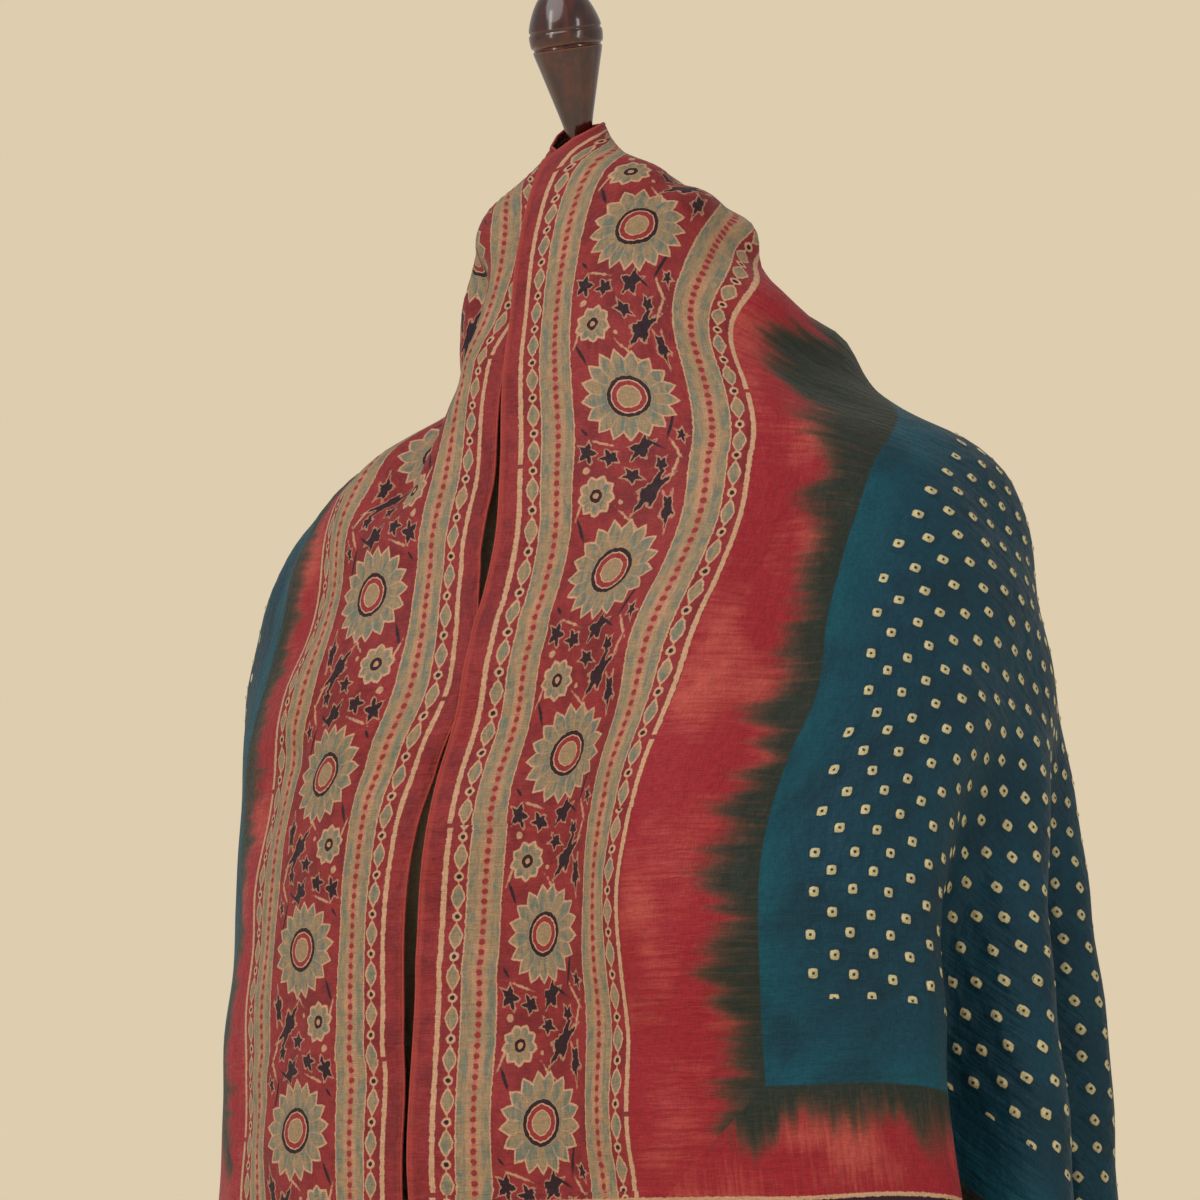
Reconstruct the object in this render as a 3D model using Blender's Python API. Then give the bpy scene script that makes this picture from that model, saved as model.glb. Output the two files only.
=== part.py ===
"""A bandhani dupatta draped as a cape over a plain dress form on a post. Metres, +Z up, front facing -Y."""

import math

import bpy
import numpy as np

# Stand: heights above the floor and plain sizes of the hidden lower part.
NECK_TOP = 1.46
BASE_RADIUS = 0.19
BASE_THICKNESS = 0.028
BASE_BEVEL = 0.006
POST_RADIUS = 0.017
TORSO_BOTTOM_DROP = 0.70
FIT_GAP = 0.0003

# Neck cap and finial share one axis, leaning forward.
LEAN = math.radians(17)
CAP_CENTRE_Y = -0.060
CAP_DROP = 0.056
CAP_RADIUS = 0.040
CAP_THICKNESS = 0.012

# The dupatta's cut size, and the length of its long edge that loops round the finial.
CLOTH_LENGTH = 2.20
CLOTH_WIDTH = 0.90
CLOTH_THICKNESS = 0.0015
HALF_LOOP = 0.053

# How the cloth falls: level below the neck top against cloth distance from the nape.
FALL = (
    # reach, drop at front, drop at side, drop at back
    (0.000, 0.0175, -0.004, -0.006),
    (0.030, 0.024, 0.004, 0.004),
    (0.060, 0.037, 0.013, 0.016),
    (0.090, 0.056, 0.023, 0.028),
    (0.120, 0.076, 0.038, 0.044),
    (0.200, 0.135, 0.102, 0.100),
    (0.260, 0.186, 0.146, 0.150),
    (0.300, 0.225, 0.167, 0.188),
    (0.380, 0.302, 0.228, 0.266),
    (0.520, 0.431, 0.364, 0.405),
    (0.800, 0.702, 0.640, 0.683),
    (1.430, 1.330, 1.262, 1.310),
)

# Outline of the draped cloth at each level, over the crests of its folds.
SECTIONS = (
    # drop, half width right and left, front y, back y, middle y, bust, front squareness right and left
    (-0.006, 0.0110, 0.0105, -0.0900, -0.0620, -0.0770, 0.000, 2.0, 2.0),
    (0.004, 0.0150, 0.0140, -0.0930, -0.0570, -0.0755, 0.000, 2.0, 2.0),
    (0.012, 0.0210, 0.0190, -0.0950, -0.0460, -0.0730, 0.000, 2.0, 2.1),
    (0.024, 0.0450, 0.0330, -0.1000, -0.0280, -0.0690, 0.000, 2.0, 2.4),
    (0.040, 0.0640, 0.0560, -0.1070, -0.0080, -0.0590, 0.000, 2.0, 2.8),
    (0.070, 0.0810, 0.0680, -0.1150, 0.0160, -0.0440, 0.000, 2.0, 3.2),
    (0.104, 0.1200, 0.0730, -0.1200, 0.0380, -0.0300, 0.000, 2.0, 3.6),
    (0.132, 0.1320, 0.0790, -0.1250, 0.0560, -0.0200, 0.002, 2.0, 3.2),
    (0.148, 0.1510, 0.1060, -0.1270, 0.0660, -0.0140, 0.004, 2.05, 2.6),
    (0.168, 0.1850, 0.1500, -0.1290, 0.0770, -0.0090, 0.007, 2.15, 2.2),
    (0.186, 0.2010, 0.1790, -0.1310, 0.0840, -0.0060, 0.010, 2.25, 2.1),
    (0.228, 0.2120, 0.2110, -0.1360, 0.0970, -0.0040, 0.018, 2.4, 2.0),
    (0.286, 0.2200, 0.2240, -0.1440, 0.1100, -0.0040, 0.028, 2.6, 1.95),
    (0.364, 0.2330, 0.2270, -0.1480, 0.1200, -0.0040, 0.026, 2.8, 1.95),
    (0.482, 0.2440, 0.2360, -0.1480, 0.1280, -0.0040, 0.017, 2.8, 1.95),
    (0.640, 0.2520, 0.2440, -0.1480, 0.1360, -0.0040, 0.008, 2.8, 2.0),
    (1.330, 0.2780, 0.2650, -0.1520, 0.1600, -0.0040, 0.000, 2.6, 2.2),
)
BACK_SQUARENESS = 2.3
BUST_X = 0.095
BUST_SPREAD = 0.055
# The right panel swings forward below the bust.
HIP = 0.033
HIP_X = 0.135
HIP_SPREAD = 0.085

# Where the two front edges hang. Above the bust the right panel crosses over the left.
OPENING = (
    # drop, x of right edge, x of left edge, how far the left edge lies behind
    (-0.006, 0.0015, -0.0015, 0.000),
    (0.004, -0.0040, -0.0010, 0.003),
    (0.0175, -0.0095, 0.0010, 0.005),
    (0.055, -0.0140, 0.0060, 0.006),
    (0.100, -0.0165, -0.0060, 0.006),
    (0.125, -0.0172, -0.0190, 0.005),
    (0.148, -0.0172, -0.0214, 0.005),
    (0.184, -0.0149, -0.0220, 0.004),
    (0.212, -0.0135, -0.0250, 0.003),
    (0.245, -0.0180, -0.0246, 0.002),
    (0.268, -0.0222, -0.0232, 0.002),
    (0.290, -0.0255, -0.0238, 0.002),
    (0.305, -0.0275, -0.0280, 0.002),
    (0.320, -0.0310, -0.0350, 0.001),
    (0.340, -0.0365, -0.0440, 0.001),
    (0.367, -0.0410, -0.0520, 0.000),
    (0.400, -0.0450, -0.0570, 0.000),
    (0.450, -0.0480, -0.0590, 0.000),
    (0.545, -0.0520, -0.0600, 0.000),
    (1.330, -0.0530, -0.0650, 0.000),
)

# Hanging folds from each side round to the back: how much of the cloth there each takes, and how deep.
FOLDS = {
    1: ((0.24, 1.00), (0.20, 0.92), (0.22, 1.00), (0.16, 0.90), (0.18, 0.95)),
    -1: ((0.22, 0.95), (0.19, 1.00), (0.23, 0.92), (0.19, 1.00), (0.17, 0.90)),
}
FRONT_FLAT = 0.285
BACK_FLAT = 0.06
FOLDS_BEGIN = 0.42
FOLDS_FULL = 0.58

# Mesh of the cloth: columns on each half, and rows by reach and then by share of the way to the hem.
FRONT_COLUMNS = 6
COLUMNS_PER_FOLD = 7
BACK_COLUMNS = 2
UPPER_ROWS = (0.0, 0.016, 0.032, 0.050, 0.070, 0.092, 0.118, 0.146, 0.176, 0.208, 0.240, 0.274, 0.310, 0.350, 0.400)
LOWER_ROWS = (0.12, 0.24, 0.36, 0.48, 0.60, 0.72, 0.84, 0.93, 1.0)
LEVELS = 300
AROUND = 96
QUARTER = math.pi / 2

# The cloth-covered form inside, with room for the cloth all round.
TORSO = (
    # drop, half width, front y, back y, squareness
    (0.092, 0.036, -0.096, -0.024, 2.0),
    (0.120, 0.040, -0.097, 0.000, 2.0),
    (0.145, 0.066, -0.098, 0.030, 2.0),
    (0.165, 0.106, -0.100, 0.045, 2.1),
    (0.190, 0.146, -0.104, 0.058, 2.2),
    (0.230, 0.170, -0.112, 0.074, 2.3),
    (0.290, 0.176, -0.132, 0.086, 2.4),
    (0.350, 0.168, -0.140, 0.084, 2.3),
    (0.420, 0.146, -0.124, 0.070, 2.2),
    (0.480, 0.130, -0.094, 0.058, 2.2),
    (0.560, 0.138, -0.100, 0.054, 2.2),
    (0.640, 0.150, -0.108, 0.052, 2.2),
    (TORSO_BOTTOM_DROP, 0.150, -0.106, 0.046, 2.2),
)
TORSO_SIDES = 36

# Turned finial: distance along its axis above the cap, and radius.
FINIAL = (
    (0.000, 0.0090),
    (0.003, 0.0090),
    (0.005, 0.0060),
    (0.040, 0.0055),
    (0.052, 0.0058),
    (0.062, 0.0078),
    (0.072, 0.0104),
    (0.082, 0.0131),
    (0.092, 0.0158),
    (0.1005, 0.0180),
    (0.1015, 0.0174),
    (0.1025, 0.0184),
    (0.1065, 0.0190),
    (0.1090, 0.0188),
    (0.1100, 0.0181),
    (0.1110, 0.0186),
    (0.1160, 0.0172),
    (0.1220, 0.0150),
    (0.1280, 0.0112),
    (0.1315, 0.0066),
)
FINIAL_TOP = 0.133
FINIAL_SIDES = 32


def ease(x, start, end):
    """0 before start, 1 after end, and a soft step between."""
    t = np.clip((x - start) / (end - start), 0, 1)
    return t * t * (3 - 2 * t)


def read_table(x, table):
    """The table's columns at x, on a smooth curve that never overshoots its rows."""
    table = np.asarray(table, float)
    keys = table[:, 0]
    values = table[:, 1:]
    steps = np.diff(keys)[:, None]
    slopes = np.diff(values, axis=0) / steps
    before, after = slopes[:-1], slopes[1:]
    weight_before = 2 * steps[1:] + steps[:-1]
    weight_after = steps[1:] + 2 * steps[:-1]
    turning = before * after <= 0
    safe_before = np.where(turning, 1, before)
    safe_after = np.where(turning, 1, after)
    mean = (weight_before + weight_after) / (weight_before / safe_before + weight_after / safe_after)
    tangents = np.concatenate([slopes[:1], np.where(turning, 0, mean), slopes[-1:]])
    row = np.clip(np.searchsorted(keys, x) - 1, 0, len(keys) - 2)
    step = steps[row]
    t = np.clip((x - keys[row])[..., None] / step, 0, 1)
    return (
        (2 * t**3 - 3 * t**2 + 1) * values[row]
        + (t**3 - 2 * t**2 + t) * step * tangents[row]
        + (3 * t**2 - 2 * t**3) * values[row + 1]
        + (t**3 - t**2) * step * tangents[row + 1]
    )


def outlines(side):
    """The outline of one half at each level, from its front edge to the middle of the back, and its length."""
    levels = np.linspace(SECTIONS[0][0], SECTIONS[-1][0], LEVELS)
    sections = read_table(levels, SECTIONS)
    openings = read_table(levels, OPENING)
    angle = np.linspace(-QUARTER, math.pi, 400)
    across, forward = np.sin(angle), np.cos(angle)
    points = np.empty((LEVELS, AROUND + 1, 2))
    lengths = np.empty(LEVELS)
    for level in range(LEVELS):
        right, left, front_y, back_y, middle_y, bust, square_right, square_left = sections[level]
        edge_right, edge_left, behind = openings[level]
        width, front_square = (right, square_right) if side > 0 else (left, square_left)
        bust = bust if side > 0 else bust * 0.5
        depth = np.where(forward > 0, middle_y - front_y, back_y - middle_y)
        square = np.where(forward > 0, front_square, BACK_SQUARENESS)
        radius = (np.abs(across / width) ** square + np.abs(forward / depth) ** square) ** (-1 / square)
        x = radius * across
        swell = np.exp(-(((np.abs(x) - BUST_X) / BUST_SPREAD) ** 2)) * np.clip(2 * forward, 0, 1)
        hip = HIP * ease(levels[level], 0.24, 0.42) * (1 - 0.6 * ease(levels[level], 0.42, 0.66)) * (side > 0)
        hip = hip * np.exp(-(((x - HIP_X) / HIP_SPREAD) ** 2)) * np.clip(2 * forward, 0, 1)
        y = middle_y - radius * forward - bust * swell - hip
        edge = edge_right if side > 0 else -edge_left
        first = int(np.argmax(x >= edge))
        share = (edge - x[first - 1]) / (x[first] - x[first - 1])
        start_y = y[first - 1] + share * (y[first] - y[first - 1])
        x = np.concatenate([[edge], x[first:]])
        y = np.concatenate([[start_y], y[first:]])
        run = np.concatenate([[0], np.cumsum(np.hypot(np.diff(x), np.diff(y)))])
        if side < 0:
            y = y + behind * (1 - ease(run, 0.03, 0.12))
        lengths[level] = run[-1]
        even = np.linspace(0, run[-1], AROUND + 1)
        points[level, :, 0] = side * np.interp(even, run, x)
        points[level, :, 1] = np.interp(even, run, y)
    return levels, points, lengths


def fold_run(side, share, swing):
    """Where a point of the folded stretch lies along the outline (0 to 1), and how far in from it."""
    steps = 480
    widths = np.array([width for width, _ in FOLDS[side]])
    depths = np.array([depth for _, depth in FOLDS[side]])
    starts = np.concatenate([[0], np.cumsum(widths) / widths.sum()])
    t = (np.arange(steps) + 0.5) / steps
    fold = np.searchsorted(starts, t) - 1
    phase = 2 * math.pi * (t - starts[fold]) / np.diff(starts)[fold]
    heading = swing[:, None] * depths[fold] * np.sin(phase)
    zero = np.zeros((len(swing), 1))
    along = np.concatenate([zero, np.cumsum(np.cos(heading), 1) / steps], 1)
    inward = np.concatenate([zero, np.cumsum(np.sin(heading), 1) / steps], 1)
    place = np.clip(share, 0, 1) * steps
    cell = np.minimum(place.astype(int), steps - 1)
    rest = place - cell
    every = np.arange(len(swing))
    along_here = along[every, cell] * (1 - rest) + along[every, cell + 1] * rest
    inward_here = inward[every, cell] * (1 - rest) + inward[every, cell + 1] * rest
    return along_here / along[:, -1], inward_here / along[:, -1]


def drape(side, u, v):
    """Places points of the flat cloth. u runs from the nape along the long edge, v in from that edge."""
    levels, outline, lengths = outlines(side)
    # Confocal ellipses round the looped edge give each point its reach and its turn from front to back.
    near = np.hypot(u - HALF_LOOP, v)
    far = np.hypot(u + HALF_LOOP, v)
    major = np.maximum((near + far) / 2, HALF_LOOP)
    reach = np.sqrt(major**2 - HALF_LOOP**2)
    turn = np.arccos(np.clip(u / major, 0, 1))
    # Down the front the cloth hangs straight, so its level follows u there.
    straight = (1 - ease(v, 0.20, 0.44)) * ease(reach, 0.10, 0.25) * (1 - ease(turn, 0.45, 0.85))
    reach = reach + (u - reach) * straight
    cloth_row = QUARTER * np.sqrt(reach**2 + HALF_LOOP**2 / 2)
    from_edge = cloth_row * turn / QUARTER
    from_edge = from_edge + (v - from_edge) * straight
    fall = read_table(reach, FALL)
    facing = np.cos(2 * turn)
    front = np.maximum(straight, np.clip(facing, 0, 1) ** 2 * (1 - ease(reach, 0.25, 0.5)))
    back = np.clip(-facing, 0, 1) ** 2
    drop = fall[:, 0] * front + fall[:, 1] * (1 - front - back) + fall[:, 2] * back
    outline_row = np.interp(drop, levels, lengths)
    # Where the cloth has no spare width it lies along the outline.
    shoulder = ease(drop, 0.04, 0.12) * (1 - ease(drop, 0.22, 0.32))
    neck = ease(drop, 0.0, 0.03) * (1 - ease(drop, 0.10, 0.19)) * (side > 0)
    gather = 0.016 * ease(from_edge, 0.12, 0.21) if side > 0 else 0.16 * from_edge
    plain = from_edge * (1 - 0.12 * neck) - gather * shoulder
    spread = outline_row - cloth_row + from_edge - plain
    plain = plain + spread * ease(from_edge / cloth_row, 0.30, 1.0)
    # Lower down the spare width hangs in folds between the flat front and the flat back.
    front_flat = np.minimum(FRONT_FLAT, 0.5 * cloth_row)
    back_flat = np.minimum(BACK_FLAT, 0.2 * cloth_row)
    folded = cloth_row - front_flat - back_flat
    room = outline_row - front_flat - back_flat
    ratio = np.clip(room / folded, 0.2, 1)
    swing = 2 * np.sqrt(2 * (1 - np.sqrt(ratio)))
    share = (from_edge - front_flat) / folded
    along, inward = fold_run(side, share, swing)
    hung = np.where(share < 0, from_edge, front_flat + room * along)
    hung = np.where(share > 1, outline_row - cloth_row + from_edge, hung)
    inward = np.where((share < 0) | (share > 1), 0, inward * room)
    hanging = ease(reach, FOLDS_BEGIN, FOLDS_FULL)
    run = plain + (hung - plain) * hanging
    inward = inward * hanging
    # Read the outline at that level and that distance round it.
    row = np.clip((drop - levels[0]) / (levels[1] - levels[0]), 0, LEVELS - 1.001)
    column = np.clip(run / outline_row, 0, 1) * (AROUND - 0.001)
    i, j = row.astype(int), column.astype(int)
    down, round_it = (row - i)[:, None], (column - j)[:, None]
    upper = outline[i, j] * (1 - round_it) + outline[i, j + 1] * round_it
    lower = outline[i + 1, j] * (1 - round_it) + outline[i + 1, j + 1] * round_it
    flat_place = upper * (1 - down) + lower * down
    k = np.clip(j, 1, AROUND - 2)
    tangent = outline[i, k + 2] - outline[i, k - 1]
    tangent = tangent / np.linalg.norm(tangent, axis=1, keepdims=True)
    inwards = np.stack([-tangent[:, 1], tangent[:, 0]], 1) * side
    place = flat_place + inwards * inward[:, None]
    return np.column_stack([place, NECK_TOP - drop])


def column_turns(side, reach):
    """The turn from front to back of each mesh column at this reach. One column meets the cloth's corner."""
    row = QUARTER * reach
    front_flat = min(FRONT_FLAT, 0.5 * row)
    back_flat = min(BACK_FLAT, 0.2 * row)
    folded = row - front_flat - back_flat
    corner_reach = math.hypot(CLOTH_LENGTH / 2, CLOTH_WIDTH)
    corner_run = corner_reach * math.atan2(CLOTH_WIDTH, CLOTH_LENGTH / 2)
    corner = (corner_run - FRONT_FLAT) / (QUARTER * corner_reach - FRONT_FLAT - BACK_FLAT)
    shares = []
    start = 0.0
    for width, _ in FOLDS[side]:
        shares += [start + width * step / COLUMNS_PER_FOLD for step in range(COLUMNS_PER_FOLD)]
        start += width
    nearest = min(range(len(shares)), key=lambda index: abs(shares[index] - corner))
    shares[nearest] = corner
    runs = [front_flat * step / FRONT_COLUMNS for step in range(FRONT_COLUMNS)]
    runs += [front_flat + folded * share for share in shares]
    runs += [row - back_flat * (BACK_COLUMNS - step) / BACK_COLUMNS for step in range(BACK_COLUMNS + 1)]
    return [run / reach for run in runs]


def hem_reach(side, column):
    """How far this column runs before it meets the cloth's end or its lower long edge."""
    low, high = 0.5, 2.0
    for _ in range(40):
        middle = (low + high) / 2
        turn = column_turns(side, middle)[column]
        inside = middle * math.cos(turn) < CLOTH_LENGTH / 2 and middle * math.sin(turn) < CLOTH_WIDTH
        low, high = (middle, high) if inside else (low, middle)
    return low


def flat_grid(side):
    """The (u, v) of each mesh point on one half of the flat cloth, by row and column."""
    columns = len(column_turns(side, 1.0))
    hems = [hem_reach(side, column) for column in range(columns)]
    rows = []
    for reach in UPPER_ROWS:
        turns = column_turns(side, max(reach, 0.01))
        major = math.hypot(reach, HALF_LOOP)
        rows.append([(major * math.cos(turn), reach * math.sin(turn)) for turn in turns])
    for share in LOWER_ROWS:
        row = []
        for column, hem in enumerate(hems):
            reach = UPPER_ROWS[-1] + (hem - UPPER_ROWS[-1]) * share
            turn = column_turns(side, reach)[column]
            fade = 1 - share
            major = math.hypot(reach, HALF_LOOP * fade)
            row.append((major * math.cos(turn), reach * math.sin(turn)))
        rows.append(row)
    return np.array(rows)


def material(name, colour, roughness):
    made = bpy.data.materials.new(name)
    made.use_nodes = True
    shader = made.node_tree.nodes["Principled BSDF"]
    shader.inputs["Base Color"].default_value = (*colour, 1)
    shader.inputs["Roughness"].default_value = roughness
    return made


def add_object(name, vertices, faces, made_material, smooth=True):
    mesh = bpy.data.meshes.new(name)
    mesh.from_pydata([tuple(vertex) for vertex in vertices], [], faces)
    mesh.materials.append(made_material)
    if smooth:
        mesh.shade_smooth()
        mesh.set_sharp_from_angle(angle=math.radians(40))
    made = bpy.data.objects.new(name, mesh)
    bpy.context.scene.collection.objects.link(made)
    return made


def stack_rings(rings):
    """Side and end faces of a solid made of rings of equal counts, listed from the top down."""
    sides = len(rings[0])
    faces = []
    for level in range(len(rings) - 1):
        for side in range(sides):
            a = level * sides + side
            b = level * sides + (side + 1) % sides
            faces.append((a, a + sides, b + sides, b))
    faces.append(tuple(range(sides)))
    faces.append(tuple(reversed(range((len(rings) - 1) * sides, len(rings) * sides))))
    return [vertex for ring in rings for vertex in ring], faces


def turned(profile, sides):
    """Rings of a turned solid, from (height, radius) rows listed from the top down."""
    angles = [2 * math.pi * side / sides for side in range(sides)]
    return [
        [(radius * math.cos(angle), radius * math.sin(angle), height) for angle in angles]
        for height, radius in profile
    ]


def make_dupatta(made_material):
    halves = {side: flat_grid(side) for side in (1, -1)}
    rows, columns = halves[1].shape[:2]
    placed = {}
    for side, grid in halves.items():
        points = grid.reshape(-1, 2)
        placed[side] = drape(side, points[:, 0], points[:, 1]).reshape(rows, columns, 3)
    # The halves share the column down the middle of the back, so the left half runs back to its front.
    joined = np.concatenate([placed[1], placed[-1][:, -2::-1]], axis=1)
    wide = joined.shape[1]
    faces = []
    for row in range(rows - 1):
        for column in range(wide - 1):
            a = row * wide + column
            faces.append((a, a + 1, a + wide + 1, a + wide))
    dupatta = add_object("dupatta", joined.reshape(-1, 3), faces, made_material)
    shell = dupatta.modifiers.new("thickness", "SOLIDIFY")
    shell.thickness = CLOTH_THICKNESS
    shell.offset = 0
    return dupatta


def make_torso(made_material):
    rings = []
    for drop, half_width, front_y, back_y, square in TORSO:
        middle_y = (front_y + back_y) / 2
        depth = (back_y - front_y) / 2
        ring = []
        for side in range(TORSO_SIDES):
            angle = 2 * math.pi * side / TORSO_SIDES
            across, forward = math.cos(angle), math.sin(angle)
            radius = (abs(across / half_width) ** square + abs(forward / depth) ** square) ** (-1 / square)
            ring.append((radius * across, middle_y + radius * forward, NECK_TOP - drop))
        rings.append(ring)
    # The neck's top follows the leaning cap.
    for index, (x, y, z) in enumerate(rings[0]):
        rings[0][index] = (x, y, cap_underside(y) - FIT_GAP)
    return add_object("torso", *stack_rings(rings), made_material)


def cap_underside(y):
    """Height of the cap's lower face above or below this y."""
    return NECK_TOP - CAP_DROP - CAP_THICKNESS / math.cos(LEAN) + (y - CAP_CENTRE_Y) * math.tan(LEAN)


def place_on_axis(made, along):
    """Puts a turned piece on the leaning axis, this far above the cap's upper face."""
    made.rotation_euler = (LEAN, 0, 0)
    made.location = (
        0,
        CAP_CENTRE_Y - along * math.sin(LEAN),
        NECK_TOP - CAP_DROP + along * math.cos(LEAN),
    )


def make_neck_cap(made_material):
    edge = 0.002
    profile = (
        (CAP_THICKNESS, CAP_RADIUS - edge),
        (CAP_THICKNESS - edge, CAP_RADIUS),
        (edge, CAP_RADIUS),
        (0, CAP_RADIUS - edge),
    )
    cap = add_object("neck_cap", *stack_rings(turned(profile, 48)), made_material)
    place_on_axis(cap, -CAP_THICKNESS)
    return cap


def make_finial(made_material):
    profile = [(FINIAL_TOP, 0.0015)] + [row for row in reversed(FINIAL)]
    finial = add_object("finial", *stack_rings(turned(profile, FINIAL_SIDES)), made_material)
    place_on_axis(finial, FIT_GAP)
    return finial


def make_post(made_material):
    low = BASE_THICKNESS + FIT_GAP
    high = NECK_TOP - TORSO_BOTTOM_DROP - FIT_GAP
    profile = ((high, POST_RADIUS), (low, POST_RADIUS))
    return add_object("post", *stack_rings(turned(profile, 24)), made_material)


def make_base(made_material):
    profile = (
        (BASE_THICKNESS, BASE_RADIUS - BASE_BEVEL),
        (BASE_THICKNESS - BASE_BEVEL, BASE_RADIUS),
        (0, BASE_RADIUS),
    )
    return add_object("base", *stack_rings(turned(profile, 64)), made_material)


def main():
    for old in list(bpy.data.objects):
        bpy.data.objects.remove(old)
    silk = material("printed silk", (0.35, 0.05, 0.05), 0.55)
    dark_wood = material("dark turned wood", (0.09, 0.02, 0.012), 0.25)
    cover = material("cream cover", (0.62, 0.57, 0.44), 0.85)
    plain_wood = material("plain stained wood", (0.12, 0.045, 0.02), 0.4)
    make_dupatta(silk)
    make_finial(dark_wood)
    make_neck_cap(dark_wood)
    make_torso(cover)
    make_post(plain_wood)
    make_base(plain_wood)


main()
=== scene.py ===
import math

import bpy
import numpy as np
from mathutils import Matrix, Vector


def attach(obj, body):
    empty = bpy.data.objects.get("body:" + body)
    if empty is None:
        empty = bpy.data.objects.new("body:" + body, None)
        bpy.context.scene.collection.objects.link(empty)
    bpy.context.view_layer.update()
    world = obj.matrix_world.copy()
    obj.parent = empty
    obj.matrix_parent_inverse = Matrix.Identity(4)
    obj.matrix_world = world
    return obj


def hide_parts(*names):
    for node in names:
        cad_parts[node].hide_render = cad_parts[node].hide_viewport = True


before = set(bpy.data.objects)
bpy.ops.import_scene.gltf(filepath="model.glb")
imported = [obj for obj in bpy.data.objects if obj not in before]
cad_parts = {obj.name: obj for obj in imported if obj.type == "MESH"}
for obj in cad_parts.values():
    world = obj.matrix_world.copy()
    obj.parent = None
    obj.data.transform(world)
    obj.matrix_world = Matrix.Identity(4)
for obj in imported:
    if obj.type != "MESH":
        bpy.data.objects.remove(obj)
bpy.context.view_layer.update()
print("stage 1: frame loaded")


# Wire is a number that runs between nodes and Net adds them, so that a pattern reads as plain sums
class Wire:
    def __init__(self, net, socket):
        self.net = net
        self.socket = socket

    def __add__(self, other):
        return self.net.math("ADD", self, other)

    def __sub__(self, other):
        return self.net.math("SUBTRACT", self, other)

    def __rsub__(self, other):
        return self.net.math("SUBTRACT", other, self)

    def __mul__(self, other):
        return self.net.math("MULTIPLY", self, other)

    def __truediv__(self, other):
        return self.net.math("DIVIDE", self, other)

    __radd__ = __add__
    __rmul__ = __mul__


class Net:
    def __init__(self, tree):
        self.tree = tree

    def plug(self, socket, value):
        if isinstance(value, Wire):
            value = value.socket
        if isinstance(value, bpy.types.NodeSocket):
            self.tree.links.new(value, socket)
        else:
            socket.default_value = value

    def node(self, kind, sockets=None, **settings):
        made = self.tree.nodes.new(kind)
        for name, value in settings.items():
            setattr(made, name, value)
        for name, value in (sockets or {}).items():
            self.plug(made.inputs[name], value)
        return made

    def math(self, operation, *values, clamp=False):
        made = self.node("ShaderNodeMath", dict(enumerate(values)), operation=operation, use_clamp=clamp)
        return Wire(self, made.outputs[0])

    def below(self, x, edge, soft=0.4):
        return self.math("MULTIPLY_ADD", x, -1 / soft, edge / soft + 0.5, clamp=True)

    def above(self, x, edge, soft=0.4):
        return self.math("MULTIPLY_ADD", x, 1 / soft, 0.5 - edge / soft, clamp=True)

    def rise(self, x, low, high):
        made = self.node("ShaderNodeMapRange", {0: x, 1: low, 2: high}, interpolation_type="SMOOTHSTEP")
        return Wire(self, made.outputs[0])

    def absolute(self, x):
        return self.math("ABSOLUTE", x)

    def wrap(self, x, low, high):
        return self.math("WRAP", x, high, low)

    def lesser(self, a, b):
        return self.math("MINIMUM", a, b)

    def greater(self, a, b):
        return self.math("MAXIMUM", a, b)

    def choose(self, share, a, b):
        made = self.node("ShaderNodeMix", {0: share, 2: a, 3: b})
        return Wire(self, made.outputs[0])

    def vector(self, x, y, z=0.0):
        return self.node("ShaderNodeCombineXYZ", {0: x, 1: y, 2: z}).outputs[0]

    def length(self, x, y):
        made = self.node("ShaderNodeVectorMath", {0: self.vector(x, y)}, operation="LENGTH")
        return Wire(self, made.outputs["Value"])

    def noise(self, place, scale=1.0, detail=2.0, roughness=0.5):
        sockets = {"Vector": place, "Scale": scale, "Detail": detail, "Roughness": roughness}
        return Wire(self, self.node("ShaderNodeTexNoise", sockets).outputs["Fac"])

    def chance(self, place):
        return Wire(self, self.node("ShaderNodeTexWhiteNoise", {"Vector": place}).outputs["Value"])

    def over(self, base, colour, mask):
        # colours may be names from the dyes table
        base, colour = [dyes[c] if isinstance(c, str) else c for c in (base, colour)]
        made = self.node("ShaderNodeMix", {0: mask, 6: base, 7: colour}, data_type="RGBA")
        return made.outputs[2]

    def layers(self, base, *coats):
        # each coat is a dye and the mask that it shows through
        for colour, mask in coats:
            base = self.over(base, colour, mask)
        return base

    def tint(self, base, other, mask, blend):
        made = self.node("ShaderNodeMix", {0: mask, 6: base, 7: other}, data_type="RGBA", blend_type=blend)
        return made.outputs[2]

    def ramp(self, x, stops, interpolation="CONSTANT"):
        made = self.node("ShaderNodeValToRGB", {0: x})
        made.color_ramp.interpolation = interpolation
        while len(made.color_ramp.elements) < len(stops):
            made.color_ramp.elements.new(1.0)
        # places first, because moving a stop reorders the ramp
        for element, (place, colour) in zip(made.color_ramp.elements, stops):
            element.position = place
        for element, (place, colour) in zip(made.color_ramp.elements, stops):
            element.color = colour
        return made.outputs["Color"]


def dye(red, green, blue):
    # screen colour from 0 to 255, as linear light
    parts = [c / 255 for c in (red, green, blue)]
    return (*[c / 12.92 if c < 0.04045 else ((c + 0.055) / 1.055) ** 2.4 for c in parts], 1.0)


def newMaterial(name, roughness, sockets=None):
    made = bpy.data.materials.new(name)
    made.use_nodes = True
    net = Net(made.node_tree)
    shader = made.node_tree.nodes["Principled BSDF"]
    shader.inputs["Roughness"].default_value = roughness
    for socket, value in (sockets or {}).items():
        shader.inputs[socket].default_value = value
    return made, net, shader


def addBump(net, shader, height, strength, distance):
    bump = net.node("ShaderNodeBump", {"Height": height, "Strength": strength, "Distance": distance})
    net.plug(shader.inputs["Normal"], bump.outputs[0])


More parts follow.
